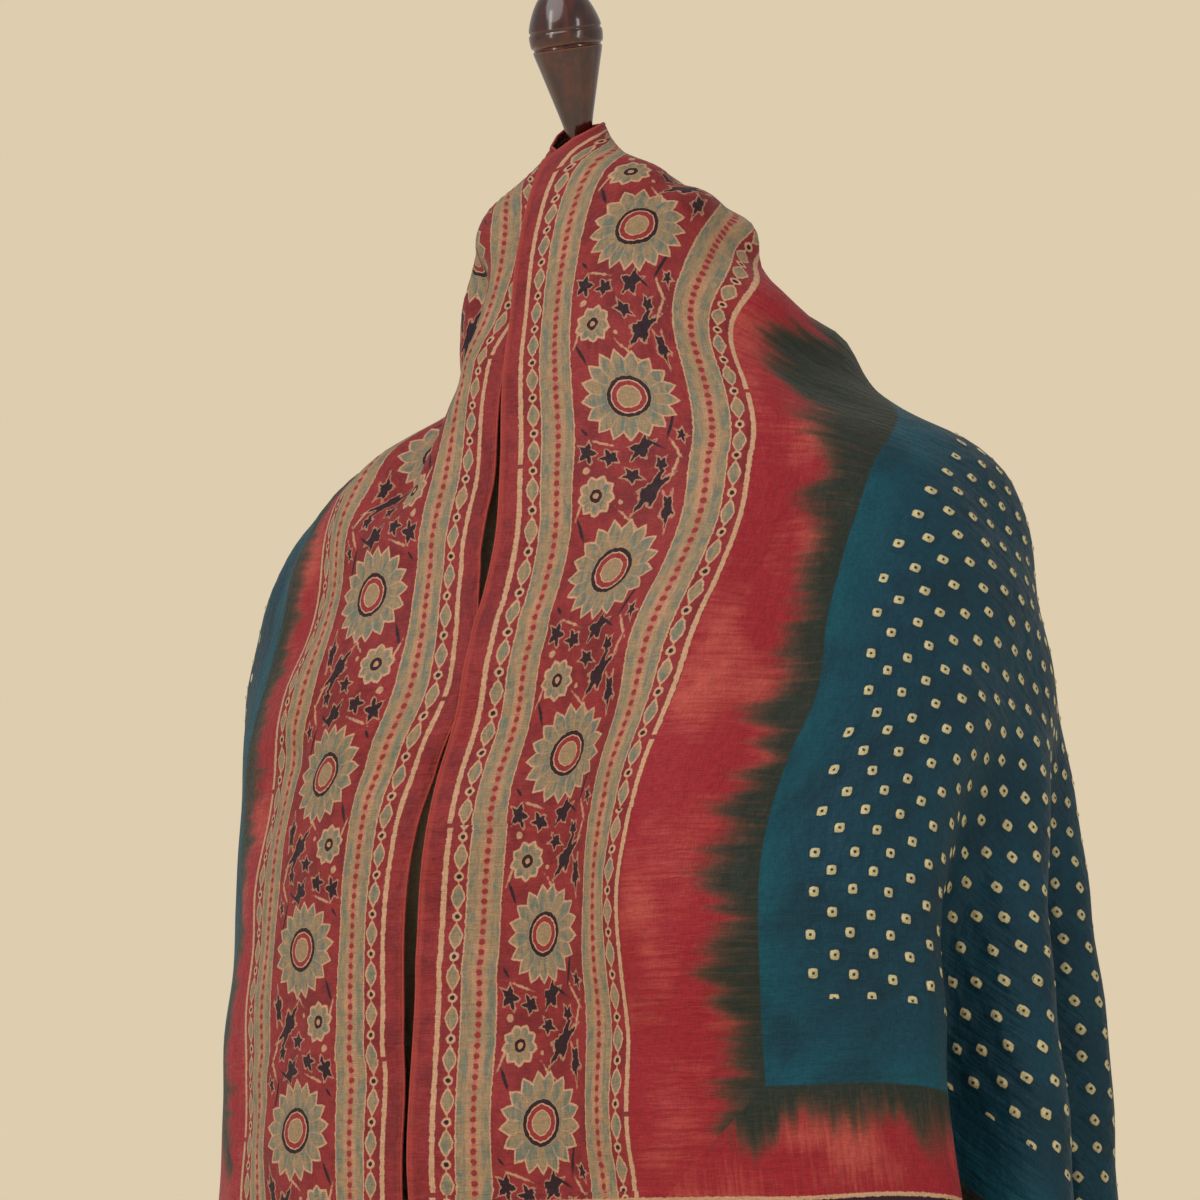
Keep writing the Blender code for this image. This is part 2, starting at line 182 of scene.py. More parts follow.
# how the cloth hangs, in metres, with drops counted down from the top of the neck
drapeShape = {
    "neckTop": 1.46,
    "halfLoop": 0.053,       # half the long edge that goes round the finial
    "length": 2.20,
    "width": 0.90,
    "thickness": 0.0008,
    "frontFlat": 0.285,
    "backFlat": 0.06,
    "foldsBegin": 0.42,
    "foldsFull": 0.58,
    "backSquareness": 2.3,
    "bustX": 0.095,
    "bustSpread": 0.055,
    "hip": 0.033,            # the right panel swings forward below the bust
    "hipX": 0.135,
    "hipSpread": 0.085,
    "hipDrops": (0.24, 0.42),
    "hipFades": (0.42, 0.66),
    "behindFades": (0.03, 0.12),
    "straightWidths": (0.20, 0.44),      # the front hangs straight within this width of the edge,
    "straightReaches": (0.10, 0.25),     # from this far out along it,
    "straightTurns": (0.45, 0.85),       # and up to this turn towards the side
    "shoulderDrops": (0.04, 0.12),
    "shoulderFades": (0.22, 0.32),
    "neckDrops": (0.0, 0.03),
    "neckFades": (0.09, 0.18),
    "neckGather": 0.21,      # shares and widths taken up where the cloth is eased in
    "leftGather": 0.16,
    "rightGather": 0.016,
    "rightGatherFrom": (0.12, 0.21),
    "levels": 300,
    "around": 96,
}

# reach, then the drop at front, side and back
fallTable = (
    (0.000, 0.0175, -0.004, -0.006),
    (0.030, 0.024, 0.004, 0.004),
    (0.060, 0.037, 0.013, 0.016),
    (0.090, 0.056, 0.023, 0.028),
    (0.120, 0.076, 0.038, 0.044),
    (0.200, 0.135, 0.102, 0.100),
    (0.260, 0.186, 0.146, 0.150),
    (0.300, 0.225, 0.167, 0.188),
    (0.380, 0.302, 0.228, 0.266),
    (0.520, 0.431, 0.364, 0.405),
    (0.800, 0.702, 0.640, 0.683),
    (1.430, 1.330, 1.262, 1.310),
)

# drop, half width right, half width left, front y, back y, middle y, bust, front squareness right and left
sectionTable = (
    (-0.006, 0.0110, 0.0105, -0.0900, -0.0620, -0.0770, 0.000, 2.0, 2.0),
    (0.004, 0.0150, 0.0140, -0.0930, -0.0570, -0.0755, 0.000, 2.0, 2.0),
    (0.012, 0.0210, 0.0190, -0.0950, -0.0460, -0.0730, 0.000, 2.0, 2.1),
    (0.024, 0.0450, 0.0330, -0.1000, -0.0280, -0.0690, 0.000, 2.0, 2.4),
    (0.040, 0.0640, 0.0560, -0.1070, -0.0080, -0.0590, 0.000, 2.0, 2.8),
    (0.070, 0.0810, 0.0680, -0.1150, 0.0160, -0.0440, 0.000, 2.0, 3.2),
    (0.104, 0.1200, 0.0730, -0.1200, 0.0380, -0.0300, 0.000, 2.0, 3.6),
    (0.132, 0.1320, 0.0790, -0.1250, 0.0560, -0.0200, 0.002, 2.0, 3.2),
    (0.148, 0.1510, 0.1060, -0.1270, 0.0660, -0.0140, 0.004, 2.05, 2.6),
    (0.168, 0.1850, 0.1500, -0.1290, 0.0770, -0.0090, 0.007, 2.15, 2.2),
    (0.186, 0.2010, 0.1790, -0.1310, 0.0840, -0.0060, 0.010, 2.25, 2.1),
    (0.228, 0.2120, 0.2110, -0.1360, 0.0970, -0.0040, 0.018, 2.4, 2.0),
    (0.286, 0.2200, 0.2240, -0.1440, 0.1100, -0.0040, 0.028, 2.6, 1.95),
    (0.364, 0.2330, 0.2270, -0.1480, 0.1200, -0.0040, 0.026, 2.8, 1.95),
    (0.482, 0.2440, 0.2360, -0.1480, 0.1280, -0.0040, 0.017, 2.8, 1.95),
    (0.640, 0.2520, 0.2440, -0.1480, 0.1360, -0.0040, 0.008, 2.8, 2.0),
    (1.330, 0.2780, 0.2650, -0.1520, 0.1600, -0.0040, 0.000, 2.6, 2.2),
)

# drop, x of the right edge, x of the left edge, how far the left edge lies behind
openingTable = (
    (-0.006, 0.0015, -0.0015, 0.000),
    (0.004, -0.0040, -0.0010, 0.003),
    (0.0175, -0.0095, 0.0010, 0.005),
    (0.055, -0.0140, 0.0060, 0.006),
    (0.100, -0.0165, -0.0060, 0.006),
    (0.125, -0.0172, -0.0190, 0.005),
    (0.148, -0.0172, -0.0214, 0.005),
    (0.184, -0.0149, -0.0220, 0.004),
    (0.212, -0.0135, -0.0250, 0.003),
    (0.245, -0.0180, -0.0246, 0.002),
    (0.268, -0.0222, -0.0232, 0.002),
    (0.290, -0.0255, -0.0238, 0.002),
    (0.305, -0.0275, -0.0280, 0.002),
    (0.320, -0.0310, -0.0350, 0.001),
    (0.340, -0.0365, -0.0440, 0.001),
    (0.367, -0.0410, -0.0520, 0.000),
    (0.400, -0.0450, -0.0570, 0.000),
    (0.450, -0.0480, -0.0590, 0.000),
    (0.545, -0.0520, -0.0600, 0.000),
    (1.330, -0.0530, -0.0650, 0.000),
)

# each hanging fold from the side round to the back: its share of the cloth there, and its depth
foldTable = {
    1: ((0.24, 1.00), (0.20, 0.92), (0.22, 1.00), (0.16, 0.90), (0.18, 0.95)),
    -1: ((0.22, 0.95), (0.19, 1.00), (0.23, 0.92), (0.19, 1.00), (0.17, 0.90)),
}


def ease(x, start, end):
    t = np.clip((x - start) / (end - start), 0, 1)
    return t * t * (3 - 2 * t)


def readTable(x, table):
    # a smooth curve through the rows that never overshoots them
    table = np.asarray(table, float)
    keys = table[:, 0]
    values = table[:, 1:]
    steps = np.diff(keys)[:, None]
    slopes = np.diff(values, axis=0) / steps
    before, after = slopes[:-1], slopes[1:]
    weightBefore = 2 * steps[1:] + steps[:-1]
    weightAfter = steps[1:] + 2 * steps[:-1]
    turning = before * after <= 0
    safeBefore = np.where(turning, 1, before)
    safeAfter = np.where(turning, 1, after)
    mean = (weightBefore + weightAfter) / (weightBefore / safeBefore + weightAfter / safeAfter)
    tangents = np.concatenate([slopes[:1], np.where(turning, 0, mean), slopes[-1:]])
    row = np.clip(np.searchsorted(keys, x) - 1, 0, len(keys) - 2)
    step = steps[row]
    t = np.clip((x - keys[row])[..., None] / step, 0, 1)
    return (
        (2 * t**3 - 3 * t**2 + 1) * values[row]
        + (t**3 - 2 * t**2 + t) * step * tangents[row]
        + (3 * t**2 - 2 * t**3) * values[row + 1]
        + (t**3 - t**2) * step * tangents[row + 1]
    )


def readGrid(grid, row, column):
    # values between the points of a grid, at rows and columns with fractions
    i = np.minimum(row.astype(int), grid.shape[0] - 2)
    j = np.minimum(column.astype(int), grid.shape[1] - 2)
    down, over = row - i, column - j
    if grid.ndim == 3:
        down, over = down[:, None], over[:, None]
    upper = grid[i, j] * (1 - over) + grid[i, j + 1] * over
    lower = grid[i + 1, j] * (1 - over) + grid[i + 1, j + 1] * over
    return upper * (1 - down) + lower * down


def ovalRadius(across, forward, halfWidth, depth, square):
    # an ellipse at square 2, and squarer above that
    return (np.abs(across / halfWidth) ** square + np.abs(forward / depth) ** square) ** (-1 / square)


def outlines(side):
    # one half's outline at each level, from its front edge to the middle of the back
    shape = drapeShape
    around = shape["around"]
    levels = np.linspace(sectionTable[0][0], sectionTable[-1][0], shape["levels"])
    sections = readTable(levels, sectionTable)
    openings = readTable(levels, openingTable)
    angle = np.linspace(-math.pi / 2, math.pi, 400)
    across, forward = np.sin(angle), np.cos(angle)
    points = np.empty((len(levels), around + 1, 2))
    lengths = np.empty(len(levels))
    for level in range(len(levels)):
        right, left, frontY, backY, middleY, bust, squareRight, squareLeft = sections[level]
        edgeRight, edgeLeft, behind = openings[level]
        width, frontSquare = (right, squareRight) if side > 0 else (left, squareLeft)
        bust = bust if side > 0 else bust * 0.5
        depth = np.where(forward > 0, middleY - frontY, backY - middleY)
        square = np.where(forward > 0, frontSquare, shape["backSquareness"])
        radius = ovalRadius(across, forward, width, depth, square)
        x = radius * across
        swell = np.exp(-(((np.abs(x) - shape["bustX"]) / shape["bustSpread"]) ** 2))
        frontOnly = np.clip(2 * forward, 0, 1)
        y = middleY - radius * forward - bust * swell * frontOnly
        if side > 0:
            drop = levels[level]
            hip = shape["hip"] * ease(drop, *shape["hipDrops"]) * (1 - 0.6 * ease(drop, *shape["hipFades"]))
            y = y - hip * np.exp(-(((x - shape["hipX"]) / shape["hipSpread"]) ** 2)) * frontOnly
        edge = edgeRight if side > 0 else -edgeLeft
        first = int(np.argmax(x >= edge))
        share = (edge - x[first - 1]) / (x[first] - x[first - 1])
        startY = y[first - 1] + share * (y[first] - y[first - 1])
        x = np.concatenate([[edge], x[first:]])
        y = np.concatenate([[startY], y[first:]])
        run = np.concatenate([[0], np.cumsum(np.hypot(np.diff(x), np.diff(y)))])
        if side < 0:
            y = y + behind * (1 - ease(run, *shape["behindFades"]))
        lengths[level] = run[-1]
        even = np.linspace(0, run[-1], around + 1)
        points[level, :, 0] = side * np.interp(even, run, x)
        points[level, :, 1] = np.interp(even, run, y)
    return levels, points, lengths


def foldRun(side, share, swing):
    # where the folded stretch lies along the outline, and how far in from it
    steps = 480
    swings = np.linspace(0, 2.9, 120)
    widths = np.array([width for width, depth in foldTable[side]])
    depths = np.array([depth for width, depth in foldTable[side]])
    starts = np.concatenate([[0], np.cumsum(widths) / widths.sum()])
    t = (np.arange(steps) + 0.5) / steps
    fold = np.searchsorted(starts, t) - 1
    phase = 2 * math.pi * (t - starts[fold]) / np.diff(starts)[fold]
    heading = swings[:, None] * depths[fold] * np.sin(phase)
    zero = np.zeros((len(swings), 1))
    along = np.concatenate([zero, np.cumsum(np.cos(heading), 1) / steps], 1)
    inward = np.concatenate([zero, np.cumsum(np.sin(heading), 1) / steps], 1)
    inward = inward / along[:, -1:]
    along = along / along[:, -1:]
    row = np.clip(swing / swings[1], 0, len(swings) - 1.001)
    column = np.clip(share, 0, 1) * (steps - 0.001)
    return readGrid(along, row, column), readGrid(inward, row, column)


def drape(side, u, v):
    # u runs from the nape along the long edge, v in from that edge
    shape = drapeShape
    halfLoop = shape["halfLoop"]
    levels, outline, lengths = outlines(side)
    # ellipses about the looped edge give each point its reach and its turn from front to back
    major = np.maximum((np.hypot(u - halfLoop, v) + np.hypot(u + halfLoop, v)) / 2, halfLoop)
    reach = np.sqrt(major**2 - halfLoop**2)
    turn = np.arccos(np.clip(u / major, 0, 1))
    # down the front the cloth hangs straight, so its level follows u there
    straight = (1 - ease(v, *shape["straightWidths"])) * ease(reach, *shape["straightReaches"])
    straight = straight * (1 - ease(turn, *shape["straightTurns"]))
    reach = reach + (u - reach) * straight
    clothRow = math.pi / 2 * np.sqrt(reach**2 + halfLoop**2 / 2)
    fromEdge = clothRow * turn / (math.pi / 2)
    fromEdge = fromEdge + (v - fromEdge) * straight
    fall = readTable(reach, fallTable)
    facing = np.cos(2 * turn)
    front = np.maximum(straight, np.clip(facing, 0, 1) ** 2 * (1 - ease(reach, 0.25, 0.5)))
    back = np.clip(-facing, 0, 1) ** 2
    drop = fall[:, 0] * front + fall[:, 1] * (1 - front - back) + fall[:, 2] * back
    outlineRow = np.interp(drop, levels, lengths)
    # where the cloth has no spare width it lies along the outline
    shoulder = ease(drop, *shape["shoulderDrops"]) * (1 - ease(drop, *shape["shoulderFades"]))
    neck = ease(drop, *shape["neckDrops"]) * (1 - ease(drop, *shape["neckFades"])) * (side > 0)
    gather = shape["leftGather"] * fromEdge
    if side > 0:
        gather = shape["rightGather"] * ease(fromEdge, *shape["rightGatherFrom"])
    plain = fromEdge * (1 - shape["neckGather"] * neck) - gather * shoulder
    spread = outlineRow - clothRow + fromEdge - plain
    plain = plain + spread * ease(fromEdge / clothRow, 0.30, 1.0)
    # lower down the spare width hangs in folds between the flat front and the flat back
    frontFlat = np.minimum(shape["frontFlat"], 0.5 * clothRow)
    backFlat = np.minimum(shape["backFlat"], 0.2 * clothRow)
    folded = clothRow - frontFlat - backFlat
    room = outlineRow - frontFlat - backFlat
    ratio = np.clip(room / folded, 0.2, 1)
    swing = 2 * np.sqrt(2 * (1 - np.sqrt(ratio)))
    share = (fromEdge - frontFlat) / folded
    along, inward = foldRun(side, share, swing)
    hung = np.where(share < 0, fromEdge, frontFlat + room * along)
    hung = np.where(share > 1, outlineRow - clothRow + fromEdge, hung)
    inward = np.where((share < 0) | (share > 1), 0, inward * room)
    hanging = ease(reach, shape["foldsBegin"], shape["foldsFull"])
    run = plain + (hung - plain) * hanging
    inward = inward * hanging
    # read the outline at that level and that distance round it
    around = shape["around"]
    row = np.clip((drop - levels[0]) / (levels[1] - levels[0]), 0, len(levels) - 1.001)
    column = np.clip(run / outlineRow, 0, 1) * (around - 0.001)
    place = readGrid(outline, row, column)
    i = row.astype(int)
    k = np.clip(column.astype(int), 1, around - 2)
    tangent = outline[i, k + 2] - outline[i, k - 1]
    tangent = tangent / np.linalg.norm(tangent, axis=1, keepdims=True)
    inwards = np.stack([-tangent[:, 1], tangent[:, 0]], 1) * side
    place = place + inwards * inward[:, None]
    return np.column_stack([place, shape["neckTop"] - drop])


def hang(u, v):
    # both halves: u is positive on the right and negative on the left
    flatU, flatV = np.abs(u).ravel(), np.broadcast_to(v, u.shape).ravel()
    right = drape(1, flatU, flatV)
    left = drape(-1, flatU, flatV)
    return np.where((u.ravel() >= 0)[:, None], right, left).reshape(*u.shape, 3)


# creases laid over the drape: from (u, v) to (u, v), half width, height (negative presses in), in metres
creaseLines = (
    (0.110, 0.075, 0.060, 0.082, 0.007, -0.0030),
    (0.105, 0.090, 0.050, 0.105, 0.008, 0.0025),
    (0.340, 0.000, 0.335, 0.045, 0.004, 0.0012),
    (0.352, 0.000, 0.349, 0.040, 0.004, -0.0012),
    (0.330, 0.130, 0.350, 0.210, 0.006, -0.0012),
    (0.250, 0.150, 0.330, 0.230, 0.012, -0.0025),
    (0.160, 0.130, 0.250, 0.260, 0.016, -0.0030),
    (0.520, 0.000, 0.530, 0.060, 0.006, 0.0016),
    (0.640, 0.000, 0.630, 0.140, 0.010, -0.0016),
    (0.700, 0.020, 0.690, 0.160, 0.012, 0.0018),
    (0.560, 0.150, 0.700, 0.240, 0.014, -0.0018),
    (0.860, 0.000, 0.840, 0.200, 0.016, 0.0020),
    (-0.300, 0.000, -0.290, 0.060, 0.006, 0.0014),
    (-0.420, 0.000, -0.400, 0.120, 0.008, -0.0016),
    (-0.560, 0.010, -0.575, 0.120, 0.010, 0.0018),
    (-0.690, 0.000, -0.700, 0.120, 0.012, -0.0018),
    (-0.200, 0.100, -0.300, 0.200, 0.012, -0.0026),
    (-0.120, 0.050, -0.170, 0.130, 0.009, 0.0022),
    (-0.150, 0.066, -0.250, 0.080, 0.022, -0.0180),
    (0.015, 0.112, 0.085, 0.126, 0.011, 0.0090),
    (0.060, 0.158, 0.150, 0.168, 0.016, -0.0060),
)

rippleSet = {"seed": 7, "waves": 26, "shortest": 0.045, "longest": 0.22, "height": 0.0011}


def creaseHeight(u, v):
    total = np.zeros(u.shape)
    for startU, startV, endU, endV, halfWidth, height in creaseLines:
        runU, runV = endU - startU, endV - startV
        t = np.clip(((u - startU) * runU + (v - startV) * runV) / (runU**2 + runV**2), 0, 1)
        away = np.hypot(u - startU - t * runU, v - startV - t * runV)
        total += height * np.exp(-((away / halfWidth) ** 2))
    return total


def rippleHeight(u, v):
    dice = np.random.default_rng(rippleSet["seed"])
    total = np.zeros(u.shape)
    for _ in range(rippleSet["waves"]):
        size = math.exp(dice.uniform(math.log(rippleSet["shortest"]), math.log(rippleSet["longest"])))
        way = dice.uniform(0, math.pi)
        phase = dice.uniform(0, 2 * math.pi)
        turned = u * math.cos(way) + v * math.sin(way)
        total += math.sqrt(size / 0.2) * np.sin(2 * math.pi * turned / size + phase)
    return total * rippleSet["height"] / math.sqrt(rippleSet["waves"] / 4)


def gridNormals(points, u, v):
    alongU = np.gradient(points, axis=1) / np.gradient(u, axis=1)[..., None]
    alongV = np.gradient(points, axis=0) / np.gradient(v, axis=0)[..., None]
    normals = np.cross(alongU, alongV)
    normals = normals / np.maximum(np.linalg.norm(normals, axis=2, keepdims=True), 1e-12)
    return normals, alongU


# spacing of the cloth grid, finer near the neck and near the looped edge
clothGrid = {
    "fine": 0.0042,
    "coarse": 0.0074,
    "fineU": 0.25,
    "fineRow": 0.0045,
    "coarseRow": 0.0073,
    "fineV": 0.14,
}


def gridStops():
    grid = clothGrid
    near = np.linspace(0, grid["fineU"], round(grid["fineU"] / grid["fine"]) + 1)
    rest = drapeShape["length"] / 2 - grid["fineU"]
    far = np.linspace(grid["fineU"], drapeShape["length"] / 2, round(rest / grid["coarse"]) + 1)
    half = np.concatenate([near, far[1:]])
    us = np.concatenate([-half[:0:-1], half])
    near = np.linspace(0, grid["fineV"], round(grid["fineV"] / grid["fineRow"]) + 1)
    rest = drapeShape["width"] - grid["fineV"]
    far = np.linspace(grid["fineV"], drapeShape["width"], round(rest / grid["coarseRow"]) + 1)
    return us, np.concatenate([near, far[1:]])


def addObject(name, data):
    made = bpy.data.objects.new(name, data)
    bpy.context.scene.collection.objects.link(made)
    return made


def addPiece(name, points, faces, materials, flat=None, smooth=True, sharp=None):
    mesh = bpy.data.meshes.new(name)
    mesh.from_pydata(np.asarray(points, float).tolist(), [], faces)
    for made in materials:
        mesh.materials.append(made)
    if flat is not None:
        layer = mesh.uv_layers.new(name="flat")
        corners = np.empty(len(mesh.loops), np.int32)
        mesh.loops.foreach_get("vertex_index", corners)
        layer.data.foreach_set("uv", np.asarray(flat, np.float32)[corners].ravel())
    if smooth:
        mesh.shade_smooth()
    if sharp:
        mesh.set_sharp_from_angle(angle=math.radians(sharp))
    return addObject(name, mesh)


def gridFaces(rows, columns):
    row, column = np.meshgrid(np.arange(rows - 1), np.arange(columns - 1), indexing="ij")
    a = (row * columns + column).ravel()
    return np.column_stack([a, a + 1, a + columns + 1, a + columns]).tolist()


def makeDupatta(rightSide, wrongSideShade):
    us, vs = gridStops()
    u, v = np.meshgrid(us, vs)
    points = hang(u, v)
    normals, alongU = gridNormals(points, u, v)
    # the cloth is pulled smooth round the neck and wrinkles freely lower down
    loose = ease(np.hypot(u, v), 0.05, 0.30)
    lift = creaseHeight(u, v) + rippleHeight(u, v) * loose
    points = points + normals * lift[..., None]
    normals, alongU = gridNormals(points, u, v)
    flat = np.column_stack([u.ravel(), v.ravel()])
    faces = gridFaces(len(vs), len(us))
    piece = addPiece("dupattaCloth", points.reshape(-1, 3), faces, [rightSide, wrongSideShade], flat)
    shell = piece.modifiers.new("clothThickness", "SOLIDIFY")
    shell.thickness = drapeShape["thickness"]
    shell.offset = 0
    shell.material_offset = 1
    shell.material_offset_rim = 0
    surface = {"us": us, "vs": vs, "points": points, "normals": normals, "alongU": alongU}
    return piece, surface


def onCloth(surface, u, v, name):
    # reads the finished cloth's grid between its points
    column = np.interp(u, surface["us"], np.arange(len(surface["us"])))
    row = np.interp(v, surface["vs"], np.arange(len(surface["vs"])))
    return readGrid(surface[name], row, column)


# the print and the dyes, laid out on the flat cloth in millimetres
clothPrint = {
    "width": 900,
    "halfLength": 1100,
    "borderMiddle": 73.2,
    "firstRosette": 129.5,
    "rosettePitch": 94.6,
    "printBlock": 189.2,
    "borderWidth": 136.5,
    "tealFrom": 205,
    "leftEarlier": 26,       # the teal starts nearer the edge on the left panel
    "tealEnd": 588,
    "endLine": 645,
    "dotsFrom": 228,
    "dotsEnd": 547,
    "dotPitch": 14.85,
    "dotJitter": 1.0,
    "rowsFrom": 658,         # rows of print that fill each end
    "rowPitch": 87.5,
    "rowFirst": 29.4,
}

dyes = {
    "borderRed": dye(152, 48, 50),
    "borderRedDeep": dye(128, 38, 42),
    "plainRed": dye(158, 32, 44),
    "coral": dye(192, 82, 72),
    "cream": dye(206, 162, 128),
    "beige": dye(164, 137, 103),
    "pinkBeige": dye(196, 146, 112),
    "blueGrey": dye(112, 122, 110),
    "plum": dye(46, 22, 34),
    "teal": dye(8, 62, 80),
    "tealDeep": dye(8, 50, 66),
    "tealBright": dye(4, 82, 98),
    "darkGreen": dye(38, 48, 40),
    "olive": dye(84, 62, 46),
    "dot": dye(214, 200, 152),
    # painted shade: the dark brown of the shadowed inside of the cloth, mixed into its back
    "wrongSideShade": dye(92, 64, 40),
}

# the printed band, in millimetres from its middle line
bandPrint = {
    "ground": 31.2,          # half width of the red ground under the rosettes
    "stripe": 40.75,         # middle of the beaded stripe
    "stripeHalf": 9.6,
    "stripeInner": 8.9,
    "stripePink": 4.2,
    "beadPitch": 5.3,
    "beadRadius": 1.6,
    "chain": 54.6,           # middle of the chain of diamonds and rings
    "linkPitch": 21.0,
    "diamondLong": 7.0,
    "diamondWide": 3.7,
    "linkEnd": 8.4,
    "line": 61.8,            # outer cream line
    "lineHalf": 1.35,
    "rosette": 26.0,
    "petals": 17,
    "flower": 10.5,
    "flowerPetals": 9,
    "flowerAlong": 55.5,
    "flowerAcross": -17,
    "blockStart": 60,
    "leafLobes": 5,
    "wash": (0.09, 0.24),    # noise scale along and across
}

# motifs between the rosettes: along and across from the rosette's centre, half sizes, turn in degrees
darkLeaves = (
    (31.2, -23.9, 5.2, 3.6, 20),
    (35.2, -10.8, 4.2, 3.6, 60),
    (31.2, 5.8, 6.2, 4.4, -35),
    (24.6, 25.8, 3.0, 1.8, 20),
    (41.1, 17.3, 3.2, 2.6, 0),
    (46.4, 2.3, 4.4, 3.2, 70),
    (55.0, 13.4, 10.5, 4.0, -38),
    (65.0, 23.0, 6.8, 2.6, 6),
)
darkStems = (
    (18.5, 20.3, 8.6, 0.85, -12),
    (29.0, 12.0, 6.5, 0.7, 60),
    (72.0, -24.9, 6.2, 1.0, 25),
    (18.6, -25.9, 2.8, 0.8, 40),
    (78.3, -32.0, 2.4, 0.8, -30),
)
creamVines = (
    (32.2, 23.6, 5.6, 0.7, 32),
    (42.6, 24.6, 5.8, 0.7, -18),
    (41.4, -23.6, 1.9, 1.9, 0),
    (59.7, -2.8, 1.1, 1.1, 0),
    (70.0, 4.0, 8.0, 0.6, 50),
    (62.0, -27.0, 5.0, 0.6, -20),
    (26.0, -16.0, 6.0, 0.6, 70),
)
# rings of each flower's heart, as shares of its radius
rosetteCentre = (
    (0.0, "beige"),
    (0.225, "cream"),
    (0.25, "borderRed"),
    (0.345, "cream"),
    (0.375, "plum"),
    (0.452, "beige"),
)
flowerCentre = ((0.0, "pinkBeige"), (0.15, "plum"), (0.33, "beige"))


def blobField(net, place, blobs, lobes=0):
    # distance outside a set of ovals, cut into pointed lobes where asked
    field = None
    for along, across, halfLong, halfWide, turn in blobs:
        turned = net.node("ShaderNodeMapping", {"Vector": place}, vector_type="TEXTURE")
        turned.inputs["Location"].default_value = (along, across, 0)
        turned.inputs["Rotation"].default_value = (0, 0, math.radians(turn))
        turned.inputs["Scale"].default_value = (halfLong, halfWide, 1)
        away = net.node("ShaderNodeVectorMath", {0: turned.outputs[0]}, operation="LENGTH").outputs["Value"]
        if lobes:
            parts = net.node("ShaderNodeSeparateXYZ", {0: turned.outputs[0]}).outputs
            spoke = net.math("ARCTAN2", parts[1], parts[0]) * (lobes / (2 * math.pi))
            lobe = net.absolute(net.wrap(spoke, -0.5, 0.5))
            away = net.math("MULTIPLY", away, lobe * 1.35 + 0.74)
        size = min(halfLong, halfWide)
        edge = net.math("MULTIPLY_ADD", away, size, -size)
        field = edge if field is None else net.lesser(field, edge)
    return field


def paintRosette(net, base, x, y, radius, petals, centre, rough, wash):
    r = net.length(x, y) + rough * 0.9
    turn = net.math("ARCTAN2", y, x) * (petals / (2 * math.pi))
    petal = net.absolute(net.wrap(turn, -0.5, 0.5))
    outer = r + petal * (0.40 * radius)
    seam = net.above(petal, 0.43, 0.05) * net.above(r, radius * 0.52, 1.0) * net.below(outer, radius, 0.5)
    heart = net.ramp(r / radius, [(place, dyes[colour]) for place, colour in centre])
    return net.layers(
        base,
        ("cream", net.below(outer, radius + 0.7, 0.5)),
        (net.over("beige", "blueGrey", wash), net.below(outer, radius - 0.9, 0.8)),
        ("cream", seam * 0.4),
        (heart, net.below(r, radius * 0.47, 0.3)),
    )


